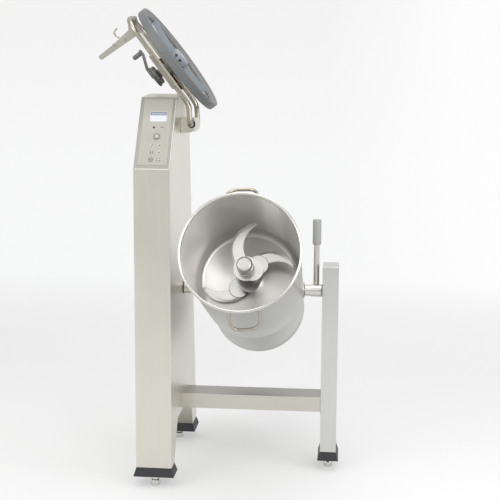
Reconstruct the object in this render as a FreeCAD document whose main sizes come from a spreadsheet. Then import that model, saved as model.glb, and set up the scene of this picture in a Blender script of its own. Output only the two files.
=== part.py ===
"""Vertical cutter mixer on a floor stand: a 45 litre bowl that tips forward over its motor.

Lengths are in millimetres and angles in degrees. Machine places are measured from the column's
left face (x), its front face (y) and the floor (z). The bowl's pieces are drawn upright round the
trunnion axis and the lid's pieces closed round the lid's pivot, and both are then turned to the
position that they rest in.
"""
import FreeCAD, Part
import math
import os
import re
import Sketcher

SIZES = (
    ("origin_x", 278.5, "floor origin, from the column's left face"),
    ("origin_y", 183.0, "floor origin, from the column's front face"),
    ("joint_gap", 0.3, "gap between pieces that pass each other"),
    ("running_gap", 0.05, "radial clearance of a shaft in its bearing"),
    # column
    ("foot_height", 43.0, "levelling foot, floor to pad"),
    ("pad_height", 33.0, "rubber pad, foot to leg"),
    ("pad_flare", 10.0, "how far a pad spreads beyond its leg"),
    ("column_width", 133.0, "column, left to right"),
    ("sheet_wall", 3.0, "column sheet"),
    ("fold_z", 1185.0, "height where the front leans back into the fascia"),
    ("fascia_top_y", 152.0, "fascia's upper edge, back from the front"),
    ("fascia_top_z", 1442.0, "fascia's upper edge"),
    ("top_back_y", 300.0, "back of the top"),
    ("top_back_z", 1457.0, "height of the back of the top"),
    ("rear_top_y", 406.0, "rear face at its upper end"),
    ("rear_top_z", 1420.0, "upper end of the rear face"),
    ("rear_low_y", 580.0, "rear face at the leg's foot"),
    ("arch_foot_front", 62.0, "depth of the front leg at its foot"),
    ("arch_side_front", 112.0, "depth of the front leg at the arch's shoulder"),
    ("arch_side_z", 185.0, "height of the arch's shoulders"),
    ("arch_top_z", 225.0, "top of the arch"),
    ("arch_corner", 22.0, "run of the arch's sloping corners"),
    ("arch_depth_back", 134.0, "depth of the rear leg at the arch's shoulder"),
    ("arch_foot_depth", 96.0, "depth of the rear leg at its foot"),
    ("cover_low_z", 330.0, "lower edge of the rear cover"),
    ("cover_high_z", 1380.0, "upper edge of the rear cover"),
    ("cover_wall", 2.0, "rear cover sheet"),
    ("cover_rim", 14.0, "screw margin of the rear cover"),
    ("screw_radius", 5.0, "cover screw head"),
    ("screw_height", 2.5, "cover screw head"),
    ("gland_radius", 13.0, "cable gland"),
    ("gland_length", 22.0, "cable gland, out from the cover"),
    # fascia
    ("membrane_left", 13.0, "keypad's left edge on the fascia"),
    ("membrane_right", 120.0, "keypad's right edge"),
    ("membrane_low", 18.0, "keypad's lower edge, up from the fold"),
    ("membrane_high", 290.0, "keypad's upper edge"),
    ("membrane_wall", 2.0, "keypad thickness"),
    ("membrane_recess", 1.5, "depth of the keypad's recess"),
    ("display_left", 41.0, "display's left edge"),
    ("display_low", 196.0, "display's lower edge"),
    ("display_width", 62.0, "display"),
    ("display_height", 41.0, "display"),
    ("stop_across", 73.0, "stop button's centre from the left"),
    ("stop_up", 134.0, "stop button's centre up from the fold"),
    ("stop_radius", 11.5, "stop button"),
    ("stop_height", 3.5, "stop button stands out"),
    ("key_radius", 8.5, "key"),
    ("key_left", 59.5, "left row of keys"),
    ("key_right", 87.0, "right row of keys"),
    ("key_first_up", 40.0, "lowest keys"),
    ("key_pitch", 29.0, "height from key to key"),
    ("key_height", 0.4, "key stands out"),
    ("key_depth", 0.8, "key reaches in below the keypad's face"),
    # right leg and beam
    ("leg_x", 677.0, "right leg's left face"),
    ("leg_width", 62.0, "right leg, left to right"),
    ("leg_depth", 116.0, "right leg, front to back"),
    ("leg_top_z", 800.0, "right leg"),
    ("cap_height", 8.0, "cap on the right leg"),
    ("tube_wall", 4.0, "wall of the leg and beam tubes"),
    ("beam_low_z", 235.0, "underside of the beam"),
    ("beam_height", 59.0, "beam"),
    ("beam_depth", 104.0, "beam, front to back"),
    # trunnions
    ("bowl_x", 406.0, "bowl axis from the column's left face"),
    ("trunnion_y", 278.0, "trunnion axis from the front"),
    ("trunnion_z", 705.0, "trunnion axis"),
    ("bowl_tilt", 64.6, "bowl leans forward from upright"),
    ("trunnion_radius", 22.0, "trunnion journals"),
    ("bearing_radius", 24.0, "trunnion bearing sleeve"),
    ("bearing_proud", 3.5, "sleeve stands out of the column and the leg"),
    ("bearing_block", 90.0, "bearing block, square"),
    ("left_block_depth", 30.0, "bearing block in the column"),
    ("brake_radius", 56.0, "tilt brake disc"),
    ("brake_disc_wall", 8.0, "tilt brake disc"),
    ("brake_lining_wall", 4.0, "tilt brake lining"),
    ("nut_length", 16.0, "nut on the left journal"),
    ("nut_radius", 34.0, "nut on the left journal"),
    # tilting lever
    ("collar_left", 226.0, "lever collar from the bowl axis"),
    ("collar_length", 40.0, "lever collar"),
    ("collar_radius", 24.5, "lever collar"),
    ("lever_back", 64.6, "lever leans back from the bowl axis"),
    ("lever_radius", 11.0, "lever rod"),
    ("lever_top", 262.0, "lever rod, up from the trunnion axis"),
    ("grip_low", 180.0, "lever grip's lower end"),
    ("grip_high", 278.0, "lever grip's upper end"),
    ("grip_radius", 16.5, "lever grip"),
    # motor housing
    ("housing_radius", 190.0, "motor housing"),
    ("housing_wall", 4.0, "motor housing"),
    ("housing_low", 336.0, "motor housing, below the trunnion axis"),
    ("housing_round", 24.0, "rounding of the housing's lower edge"),
    ("seam_up", 9.0, "seam between housing and bowl, above the axis"),
    ("flange_wall", 10.0, "motor flange under the bowl"),
    ("cover_radius", 150.0, "motor cover in the housing's floor"),
    ("casing_radius", 122.0, "motor casing"),
    ("casing_wall", 7.0, "motor casing"),
    ("casing_low", 312.0, "motor casing, below the axis"),
    ("stator_bore", 64.0, "stator"),
    ("stator_low", 262.0, "stator, below the axis"),
    ("stator_high", 92.0, "stator's upper end, below the axis"),
    ("air_gap", 0.8, "rotor in the stator"),
    ("shaft_radius", 17.5, "motor shaft"),
    ("shaft_low", 304.0, "motor shaft, below the axis"),
    ("shaft_high", 326.0, "motor shaft, above the axis"),
    ("race_radius", 40.0, "motor bearings"),
    ("race_height", 22.0, "motor bearings"),
    # bowl
    ("rim_up", 527.0, "bowl rim, above the trunnion axis"),
    ("rim_radius", 212.0, "bowl rim"),
    ("rim_roll", 5.0, "radius of the rolled rim"),
    ("rim_stand", 7.0, "rim stands out of the wall"),
    ("seam_stand", 6.0, "bowl stands out of the housing at the seam"),
    ("bowl_wall", 3.0, "bowl sheet"),
    ("floor_up", 130.0, "edge of the bowl's floor"),
    ("floor_rise", 14.0, "floor's rise to the middle"),
    ("chimney_radius", 36.0, "collar in the middle of the floor"),
    ("chimney_bore", 22.0, "collar in the middle of the floor"),
    ("chimney_up", 150.0, "top of the collar"),
    ("bail_width", 104.0, "bail handle between leg centres"),
    ("bail_radius", 6.0, "bail handle bar"),
    ("bail_reach", 62.0, "bail handle, out from the wall"),
    ("bail_drop", 42.0, "bail handle, down over its reach"),
    ("bail_root_down", 44.0, "bail handle's roots below the rim"),
    ("bail_bend", 34.0, "bail handle's corners"),
    ("front_bail_turn", 5.7, "front bail handle, turned from the front"),
    ("rear_bail_turn", 2.3, "rear bail handle, turned from the back"),
    # blades
    ("hub_radius", 24.0, "blade hub"),
    ("blade_wall", 6.0, "blade"),
    ("blade_grind", 8.0, "ground edge of a blade, across"),
    ("blade_low_up", 156.0, "lower blade"),
    ("blade_mid_up", 205.0, "middle blade"),
    ("blade_high_up", 298.0, "upper blade"),
    ("blade_first_turn", 80.0, "upper blade's tip, turned about the axis"),
    ("blade_mid_turn", -65.5, "middle blade, turned from the upper"),
    ("blade_low_turn", 113.5, "lower blade, turned from the upper"),
    ("root_radius", 45.0, "blade root disc"),
    ("tail_radius", 40.0, "rounded tail of the root"),
    ("tail_across", 24.0, "centre of the tail, off the axis"),
    ("tail_cut", 50.0, "crescent's inner end, off the axis"),
    ("boss_radius", 37.0, "thick part of a blade's root"),
    ("boss_across", 44.0, "centre of the thick part, towards the tip"),
    ("boss_up", 28.0, "centre of the thick part, across the tip's direction"),
    ("boss_wall", 4.0, "thick part stands above the blade"),
    ("back_radius", 94.5, "blade's outer arc"),
    ("back_across", 79.0, "centre of the outer arc, towards the tip"),
    ("back_up", -30.0, "centre of the outer arc, across the tip's direction"),
    ("belly_radius", 88.0, "blade's inner arc"),
    ("belly_across", 97.0, "centre of the inner arc, towards the tip"),
    ("belly_up", -60.0, "centre of the inner arc, across the tip's direction"),
    ("tip_across", 180.5, "outer corner of the blunt tip"),
    ("tip_up", 1.3, "outer corner of the blunt tip"),
    ("tip_slope", 0.44, "slope of the blunt tip"),
    ("spacer_radius", 42.0, "spacers between blades"),
    ("neck_radius", 19.0, "neck under the knob"),
    ("knob_low", 330.0, "blade knob"),
    ("knob_high", 367.0, "blade knob"),
    ("knob_radius", 29.0, "blade knob"),
    # lid hinge and arm
    ("pivot_x", 175.0, "lid pivot from the column's left face"),
    ("pivot_z", 1343.0, "lid pivot"),
    ("lid_open", 126.6, "lid's opening from closed"),
    ("hinge_half", 60.0, "half the hinge block, front to back"),
    ("hinge_nose", 15.0, "hinge block, pivot to nose"),
    ("hinge_up", 26.0, "hinge block above the pivot"),
    ("hinge_down", 32.0, "hinge block below the pivot"),
    ("bush_radius", 14.0, "hinge bush"),
    ("bush_length", 34.0, "hinge bush"),
    ("bush_proud", 2.0, "hinge bush stands out of the block"),
    ("arm_radius", 10.0, "arm tube"),
    ("arm_half", 91.0, "arm tube from the middle plane"),
    ("arm_end", 42.0, "arm tube's ends from the middle plane"),
    ("arm_drop", 40.0, "arm below the pivot"),
    ("arm_start", 62.0, "where the arm levels, from the pivot"),
    ("arm_reach", 452.0, "arm's outer bar from the pivot"),
    ("arm_bend", 62.0, "arm's outer corners"),
    ("arm_knee", 18.0, "arm's corners at the pivot"),
    ("saddle_near", 142.0, "saddle plate's inner edge from the pivot"),
    ("saddle_far", 290.0, "saddle plate's outer edge from the pivot"),
    ("saddle_wall", 4.0, "saddle plate"),
    ("saddle_skirt", 14.0, "saddle's sides below the top of the tubes"),
    # lid
    ("rim_slack", 2.0, "lid ring clears the rim"),
    ("pane_hold", 4.0, "pane's edge held in the ring"),
    ("lid_overlap", 10.0, "lid ring reaches below the rim"),
    ("ring_radius", 225.0, "lid ring"),
    ("ring_height", 40.0, "lid ring"),
    ("ring_lip", 196.0, "lid ring's opening"),
    ("ring_round", 9.0, "chamfer of the ring's outer edges"),
    ("gasket_inner", 196.0, "lid gasket"),
    ("gasket_lip", 4.0, "gasket's lip inside the bowl"),
    ("gasket_height", 6.0, "lid gasket"),
    ("pane_seat", 14.0, "pane above the bowl's rim"),
    ("pane_wall", 4.0, "lid pane"),
    ("pane_rise", 22.0, "pane's rise to the middle"),
    ("pane_flat", 34.0, "flat middle of the pane"),
    ("axle_bush_radius", 20.0, "lid bush"),
    ("axle_radius", 9.95, "wiper axle"),
    ("washer_wall", 4.0, "washer under the pane"),
    # wiper and crank
    ("wiper_hub_radius", 37.0, "wiper hub"),
    ("wiper_hub_height", 40.0, "wiper hub"),
    ("wiper_reach", 166.0, "wiper arm"),
    ("wiper_wall", 15.0, "wiper arm, across"),
    ("wiper_root", 30.0, "wiper arm's height at the hub"),
    ("wiper_tip", 23.0, "wiper arm's height at the tip"),
    ("crank_hub_radius", 38.0, "crank hub"),
    ("crank_hub_low", -4.0, "crank hub, above the pivot"),
    ("crank_hub_high", 18.0, "crank hub, above the pivot"),
    ("crank_lip", 42.0, "crank hub's lip"),
    ("crank_lip_wall", 6.0, "crank hub's lip"),
    ("crank_reach", 104.0, "crank, axle to grip"),
    ("crank_end_drop", 20.0, "crank's outer end below its root"),
    ("crank_wall", 8.0, "crank arm"),
    ("crank_width", 24.0, "crank arm"),
    ("crank_grip_radius", 9.5, "crank grip"),
    ("crank_grip_length", 33.0, "crank grip"),
    ("crank_pin_radius", 4.0, "crank grip's pin"),
    # latch
    ("latch_wall", 6.0, "latch lever plate"),
    ("latch_length", 186.0, "latch lever above the outer bar"),
    ("latch_collar", 16.0, "latch collar on the outer bar"),
    ("latch_collar_half", 15.0, "half the latch collar's length"),
    ("latch_rod", 3.5, "latch hook rod"),
)
NAMES = {name for name, _, _ in SIZES}

doc = FreeCAD.newDocument("cutter_mixer")
sheet = doc.addObject("Spreadsheet::Sheet", "Sizes")
for row, (name, number, meaning) in enumerate(SIZES, start=1):
    sheet.set(f"A{row}", meaning)
    sheet.set(f"B{row}", str(number))
    sheet.setAlias(f"B{row}", name)
doc.recompute()

FLAT = "rotation(vector(0; 0; 1); 0)"
ALONG_X = "rotation(vector(0; 1; 0); 90)"
ALONG_Y = "rotation(vector(1; 0; 0); -90)"
TRUNNION = "vector(bowl_x - origin_x; trunnion_y - origin_y; trunnion_z)"
FASCIA_LEAN = "atan(fascia_top_y / (fascia_top_z - fold_z))"
GROUPS = {
    "frame": f"placement(vector(-origin_x; -origin_y; 0); {FLAT})",
    "fascia": "placement(vector(-origin_x; -origin_y; fold_z); rotation(vector(1; 0; 0);"
              f" -{FASCIA_LEAN}))",
    "bowl": f"placement({TRUNNION}; rotation(vector(1; 0; 0); bowl_tilt))",
    "lever": f"placement({TRUNNION}; rotation(vector(1; 0; 0); bowl_tilt - lever_back))",
    "lid": "placement(vector(pivot_x - origin_x; trunnion_y - origin_y; pivot_z);"
           " rotation(vector(0; 1; 0); -lid_open))",
}
LEG_LOW = "(foot_height + pad_height)"
LID_X = "(bowl_x - pivot_x)"
SEAM_RADIUS = "(housing_radius + seam_stand)"
WALL_RADIUS = "(rim_radius - rim_stand)"
RIM_Z = "(trunnion_z + rim_up - pivot_z)"
RING_LOW = f"({RIM_Z} - lid_overlap)"
PANE_LOW = f"({RIM_Z} + pane_seat + joint_gap)"
AXLE_PANE = f"({PANE_LOW} + pane_rise)"
START = 50.0
nodes = []


def size(name):
    """A driving dimension as a number."""
    return float(sheet.get(name))


def bound(text):
    """The expression with each size read from the sheet."""
    return re.sub(r"[a-z_]+", lambda word: "Sizes." + word[0] if word[0] in NAMES else word[0], text)


def drive(item, prop, text):
    item.setExpression(prop, bound(text))


def place(item, group, x="0", y="0", z="0", turn=FLAT):
    """Stands an object in its group, at a place of the group's own frame."""
    drive(item, "Placement", f"{GROUPS[group]} * placement(vector({x}; {y}; {z}); {turn})")


def node(item, label):
    item.Label = label
    nodes.append(item)
    return item


def new_body(label):
    return doc.addObject("PartDesign::Body", label + "_body")


def new_sketch(body, plane, offset="0"):
    """A sketch on one of the body's own planes, moved along the plane's normal."""
    sketch = body.newObject("Sketcher::SketchObject", body.Name + "_sketch")
    support = next(o for o in body.Origin.OriginFeatures if o.Role == plane)
    sketch.AttachmentSupport = (support, [""])
    sketch.MapMode = "FlatFace"
    drive(sketch, "AttachmentOffset.Base.z", offset)
    return sketch


def outline(sketch, corners):
    """A closed outline of straight lines, each corner tied to two expressions."""
    first, count = sketch.GeometryCount, len(corners)
    start = [FreeCAD.Vector(START * math.cos(6.28 * i / count), START * math.sin(6.28 * i / count), 0)
             for i in range(count)]
    for i in range(count):
        sketch.addGeometry(Part.LineSegment(start[i], start[(i + 1) % count]))
    for i, corner in enumerate(corners):
        sketch.addConstraint(Sketcher.Constraint("Coincident", first + i, 2, first + (i + 1) % count, 1))
        for way, text in zip(("DistanceX", "DistanceY"), corner):
            index = sketch.addConstraint(Sketcher.Constraint(way, -1, 1, first + i, 1, 1.0))
            drive(sketch, f"Constraints[{index}]", text)


def circle(sketch, radius, x="0", y="0"):
    """A circle whose radius and centre are tied to expressions."""
    ring = sketch.addGeometry(Part.Circle(FreeCAD.Vector(1, 1, 0), FreeCAD.Vector(0, 0, 1), 5))
    index = sketch.addConstraint(Sketcher.Constraint("Radius", ring, 5.0))
    drive(sketch, f"Constraints[{index}]", radius)
    for way, text in (("DistanceX", x), ("DistanceY", y)):
        index = sketch.addConstraint(Sketcher.Constraint(way, -1, 1, ring, 3, 1.0))
        drive(sketch, f"Constraints[{index}]", text)


def rectangle(sketch, left, right, low, high):
    outline(sketch, ((left, low), (right, low), (right, high), (left, high)))


def pad(body, sketch, length, centred=False):
    feature = body.newObject("PartDesign::Pad", body.Name + "_pad")
    feature.Profile = sketch
    feature.SideType = "Symmetric" if centred else "One side"
    drive(feature, "Length", length)
    return feature


def pocket(body, sketch, length, centred=False):
    """Cuts the outline along the sketch's normal, away from the sketch."""
    feature = body.newObject("PartDesign::Pocket", body.Name + "_pocket")
    feature.Profile = sketch
    feature.SideType = "Symmetric" if centred else "One side"
    feature.Reversed = not centred
    drive(feature, "Length", length)
    return feature


def lathe(label, group, corners, **spot):
    """A body turned about the group's upright axis: corners are (radius, height)."""
    body = new_body(label)
    sketch = new_sketch(body, "XZ_Plane")
    outline(sketch, corners)
    feature = body.newObject("PartDesign::Revolution", body.Name + "_turn")
    feature.Profile = sketch
    feature.ReferenceAxis = (sketch, ["V_Axis"])
    feature.Angle = 360
    place(body, group, **spot)
    return body


def turned(label, group, corners, **spot):
    return node(lathe(label, group, corners, **spot), label)


def sleeve(label, group, inner, outer, low, high, **spot):
    """A plain ring or, with an inner radius of 0, a disc."""
    return lathe(label, group, ((inner, low), (outer, low), (outer, high), (inner, high)), **spot)


def ring(label, group, inner, outer, low, high, **spot):
    return node(sleeve(label, group, inner, outer, low, high, **spot), label)


def cylinder(name, group, radius, height, **spot):
    item = doc.addObject("Part::Cylinder", name)
    drive(item, "Radius", radius)
    drive(item, "Height", height)
    place(item, group, **spot)
    return item


def box(name, group, length, width, height, **spot):
    item = doc.addObject("Part::Box", name)
    drive(item, "Length", length)
    drive(item, "Width", width)
    drive(item, "Height", height)
    place(item, group, **spot)
    return item


def cut(label, base, *tools):
    """The base less the tools."""
    item = base
    for tool in tools:
        step = doc.addObject("Part::Cut", label + "_cut")
        step.Base, step.Tool = item, tool
        item = step
    return item


def together(label, items):
    """Several separate solids kept in one node."""
    item = doc.addObject("Part::Compound", label + "_set")
    item.Links = items
    return node(item, label)


def joined(label, items):
    """One solid made of several."""
    item = doc.addObject("Part::MultiFuse", label + "_whole")
    item.Shapes = items
    item.Refine = True
    return node(item, label)


def rounded_path(points, bends):
    """A wire through the points with its inner corners rounded to the given radii."""
    edges, here = [], points[0]
    for i, bend in enumerate(bends, start=1):
        into = (points[i - 1] - points[i]).normalize()
        out = (points[i + 1] - points[i]).normalize()
        half = into.getAngle(out) / 2
        back = bend / math.tan(half)
        middle = points[i] + (into + out).normalize() * (bend / math.sin(half) - bend)
        enter, leave = points[i] + into * back, points[i] + out * back
        edges += [Part.LineSegment(here, enter).toShape(), Part.Arc(enter, middle, leave).toShape()]
        here = leave
    edges.append(Part.LineSegment(here, points[-1]).toShape())
    return Part.Wire(edges)


def bar(points, bends, radius):
    """A round bar bent along the points."""
    path = rounded_path([FreeCAD.Vector(*p) for p in points], bends)
    start = path.Edges[0]
    profile = Part.Wire(Part.makeCircle(radius, start.valueAt(start.FirstParameter),
                                        start.tangentAt(start.FirstParameter)))
    return path.makePipeShell([profile], True, True)


def bent(name, group, shape, **spot):
    item = doc.addObject("Part::Feature", name + "_bent")
    item.Shape = shape
    place(item, group, **spot)
    return item


# Column: a folded sheet housing on two legs, with an arch between them

def rear_y(z):
    slope = f"(rear_low_y - rear_top_y) / (rear_top_z - {LEG_LOW})"
    return f"(rear_low_y - (({z}) - {LEG_LOW}) * {slope})"


def column():
    body = new_body("column")
    side = new_sketch(body, "YZ_Plane")
    outline(side, (
        ("0", LEG_LOW), ("0", "fold_z"), ("fascia_top_y", "fascia_top_z"), ("top_back_y", "top_back_z"),
        ("rear_top_y", "rear_top_z"), ("rear_low_y", LEG_LOW), ("rear_low_y - arch_foot_depth", LEG_LOW),
        ("rear_low_y - arch_depth_back", "arch_side_z"),
        ("rear_low_y - arch_depth_back - arch_corner", "arch_top_z"),
        ("arch_side_front + arch_corner", "arch_top_z"), ("arch_side_front", "arch_side_z"),
        ("arch_foot_front", LEG_LOW)))
    pad(body, side, "column_width")
    hollow = new_sketch(body, "YZ_Plane", "sheet_wall")
    outline(hollow, (
        ("sheet_wall", "cover_low_z"), ("sheet_wall", f"fold_z - sheet_wall * tan({FASCIA_LEAN} / 2)"),
        (f"fascia_top_y + sheet_wall * (cos({FASCIA_LEAN}) - sin({FASCIA_LEAN}))",
         f"fascia_top_z - sheet_wall * (cos({FASCIA_LEAN}) + sin({FASCIA_LEAN}))"),
        ("top_back_y", "top_back_z - sheet_wall"), (rear_y("cover_high_z"), "cover_high_z"),
        (rear_y("cover_high_z") + " + cover_rim", "cover_high_z"),
        (rear_y("cover_low_z") + " + cover_rim", "cover_low_z")))
    pocket(body, hollow, "column_width - 2 * sheet_wall")
    place(body, "frame")
    recess = box("keypad_recess", "fascia", "membrane_right - membrane_left", "membrane_recess",
                 "membrane_high - membrane_low", x="membrane_left", z="membrane_low")
    seat = cylinder("bearing_seat", "frame", "bearing_radius", "2 * sheet_wall", turn=ALONG_X,
                    x="column_width - 1.5 * sheet_wall", y="trunnion_y", z="trunnion_z")
    stop_hole = cylinder("stop_hole", "fascia", "stop_radius + joint_gap", "4 * sheet_wall", turn=ALONG_Y,
                         x="stop_across", y="-sheet_wall", z="stop_up")
    node(cut("column", body, recess, seat, stop_hole), "column_shell")


def rear_cover():
    low, high = "(cover_low_z - cover_rim)", "(cover_high_z + cover_rim)"
    body = new_body("rear_cover")
    side = new_sketch(body, "YZ_Plane")
    outline(side, ((rear_y(low), low), (rear_y(low) + " + cover_wall", low),
                   (rear_y(high) + " + cover_wall", high), (rear_y(high), high)))
    pad(body, side, "column_width")
    place(body, "frame")
    node(body, "rear_cover")
    lean = f"rotation(vector(1; 0; 0); -90 deg + atan((rear_low_y - rear_top_y) / (rear_top_z - {LEG_LOW})))"
    heads = []
    for step in range(4):
        z = f"(cover_low_z + (cover_high_z - cover_low_z) * {step} / 3)"
        for x in ("cover_rim", "column_width - cover_rim"):
            heads.append(cylinder("cover_screw", "frame", "screw_radius", "screw_height", turn=lean,
                                  x=x, y=rear_y(z) + " + cover_wall", z=z))
    together("cover_screws", heads)
    gland_z = "(cover_low_z + 6 * cover_rim)"
    turned("cable_gland", "frame",
           (("0", "0"), ("gland_radius", "0"), ("gland_radius", "gland_length / 3"),
            ("0.8 * gland_radius", "gland_length / 2"), ("0.6 * gland_radius", "gland_length"),
            ("0", "gland_length")),
           turn=lean, x="column_width / 2", y=rear_y(gland_z) + " + cover_wall", z=gland_z)


def control_panel():
    body = new_body("keypad")
    face = new_sketch(body, "XZ_Plane")
    rectangle(face, "membrane_left", "membrane_right", "membrane_low", "membrane_high")
    pad(body, face, "membrane_wall")
    holes = new_sketch(body, "XZ_Plane")
    rectangle(holes, "display_left", "display_left + display_width",
              "display_low", "display_low + display_height")
    circle(holes, "stop_radius + joint_gap", "stop_across", "stop_up")
    keys = []
    for row, pair in enumerate((("mixing_key", "program_key"), ("pulse_key", "timer_key"),
                                ("slower_key", "faster_key"))):
        up = f"(key_first_up + {row} * key_pitch)"
        for label, across in zip(pair, ("key_left", "key_right")):
            circle(holes, "key_radius + joint_gap", across, up)
            keys.append((label, across, up))
    pocket(body, holes, "membrane_wall")
    place(body, "fascia", y="membrane_recess")
    node(body, "keypad_membrane")
    face_y = "(membrane_recess - membrane_wall)"
    for label, across, up in keys:
        node(cylinder(label, "fascia", "key_radius", "key_height + key_depth", turn=ALONG_Y,
                      x=across, y=face_y + " - key_height", z=up), label)
    ring("stop_button", "fascia", "0", "stop_radius", "0", "stop_height + key_depth", turn=ALONG_Y,
         x="stop_across", y=face_y + " - stop_height", z="stop_up")
    node(box("display", "fascia", "display_width", "membrane_wall", "display_height",
             x="display_left", y=face_y, z="display_low"), "display_window")
    board_y = "(membrane_recess + 8 * sheet_wall)"
    board = box("board", "fascia", "membrane_right - membrane_left", "sheet_wall / 2",
                "membrane_high - membrane_low", x="membrane_left", y=board_y, z="membrane_low")
    posts = [cylinder("board_post", "fascia", "sheet_wall", board_y + " - sheet_wall",
                      turn=ALONG_Y, x=x, y="sheet_wall", z=z)
             for x in ("membrane_left + 2 * sheet_wall", "membrane_right - 2 * sheet_wall")
             for z in ("membrane_low + 2 * sheet_wall", "membrane_high - 6 * sheet_wall")]
    together("control_board", [board] + posts)
    node(box("drive", "frame", "column_width - 10 * sheet_wall", "trunnion_y / 2", "trunnion_y",
             x="5 * sheet_wall", y="sheet_wall", z="trunnion_z + 2 * bearing_block"), "motor_drive")


def pads_and_feet():
    pads, feet = [], []
    legs = {
        "front": ("0", "column_width", "0", "arch_foot_front"),
        "rear": ("0", "column_width", "(rear_low_y - arch_foot_depth)", "rear_low_y"),
        "right": ("leg_x", "leg_x + leg_width", "trunnion_y - leg_depth / 2",
                  "trunnion_y + leg_depth / 2"),
    }
    for side, (left, right, front, back) in legs.items():
        body = new_body(side + "_pad")
        low = new_sketch(body, "XY_Plane", "foot_height")
        rectangle(low, left + " - pad_flare", right + " + pad_flare",
                  front + " - pad_flare", back + " + pad_flare")
        high = new_sketch(body, "XY_Plane", LEG_LOW)
        rectangle(high, left, right, front, back)
        loft = body.newObject("PartDesign::AdditiveLoft", side + "_pad_loft")
        loft.Profile = low
        loft.Sections = [high]
        loft.Ruled = True
        place(body, "frame")
        pads.append(body)
        feet.append(lathe(side + "_foot", "frame",
               (("0", "0"), ("foot_height * 0.4", "0"), ("foot_height * 0.42", "foot_height * 0.1"),
                ("foot_height * 0.42", "foot_height * 0.3"), ("foot_height * 0.3", "foot_height * 0.42"),
                ("foot_height * 0.2", "foot_height * 0.42"), ("foot_height * 0.2", "foot_height"),
                ("0", "foot_height")),
               x=f"({left} + {right}) / 2", y=f"({front} + {back}) / 2"))
    together("leg_pads", pads)
    together("levelling_feet", feet)


# Right leg, beam and the trunnion bearings

def stand():
    front, back = "(trunnion_y - leg_depth / 2)", "(trunnion_y + leg_depth / 2)"
    leg = new_body("right_leg")
    section = new_sketch(leg, "XY_Plane", LEG_LOW)
    rectangle(section, "leg_x", "leg_x + leg_width", front, back)
    rectangle(section, "leg_x + tube_wall", "leg_x + leg_width - tube_wall",
              front + " + tube_wall", back + " - tube_wall")
    pad(leg, section, f"leg_top_z - {LEG_LOW}")
    bore = new_sketch(leg, "YZ_Plane", "leg_x - tube_wall")
    circle(bore, "bearing_radius", "trunnion_y", "trunnion_z")
    pocket(leg, bore, "3 * tube_wall")
    place(leg, "frame")
    node(leg, "right_leg")
    node(box("leg_cap", "frame", "leg_width", "leg_depth", "cap_height", x="leg_x", y=front,
             z="leg_top_z"), "right_leg_cap")
    beam = new_body("cross_beam")
    section = new_sketch(beam, "YZ_Plane", "column_width")
    near, far = "(trunnion_y - beam_depth / 2)", "(trunnion_y + beam_depth / 2)"
    rectangle(section, near, far, "beam_low_z", "beam_low_z + beam_height")
    rectangle(section, near + " + tube_wall", far + " - tube_wall",
              "beam_low_z + tube_wall", "beam_low_z + beam_height - tube_wall")
    pad(beam, section, "leg_x - column_width")
    place(beam, "frame")
    node(beam, "cross_beam")


def bearings():
    inner = "trunnion_radius + running_gap"
    block_end = "(column_width - sheet_wall - left_block_depth)"
    spot = {"turn": ALONG_X, "y": "trunnion_y", "z": "trunnion_z"}
    together("trunnion_bearings", [
        sleeve("left_bearing", "frame", inner, "bearing_radius", "0",
               f"column_width + bearing_proud - {block_end}", x=block_end, **spot),
        sleeve("right_bearing", "frame", inner, "bearing_radius", "0",
               "leg_width - tube_wall + bearing_proud", x="leg_x - bearing_proud", **spot)])
    blocks = []
    for start, depth in ((block_end, "left_block_depth"),
                         ("(leg_x + tube_wall)", "leg_width - 2 * tube_wall")):
        body = new_body("bearing_block")
        section = new_sketch(body, "YZ_Plane")
        rectangle(section, "-bearing_block / 2", "bearing_block / 2",
                  "-bearing_block / 2", "bearing_block / 2")
        circle(section, "bearing_radius")
        pad(body, section, depth)
        place(body, "frame", x=start, y="trunnion_y", z="trunnion_z")
        blocks.append(body)
    together("bearing_blocks", blocks)
    ring("brake_lining", "frame", "bearing_radius + joint_gap", "brake_radius", "0",
         "brake_lining_wall", turn=ALONG_X, x=block_end + " - brake_lining_wall",
         y="trunnion_y", z="trunnion_z")


# Motor housing with its trunnions, drawn upright round the trunnion axis

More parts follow.
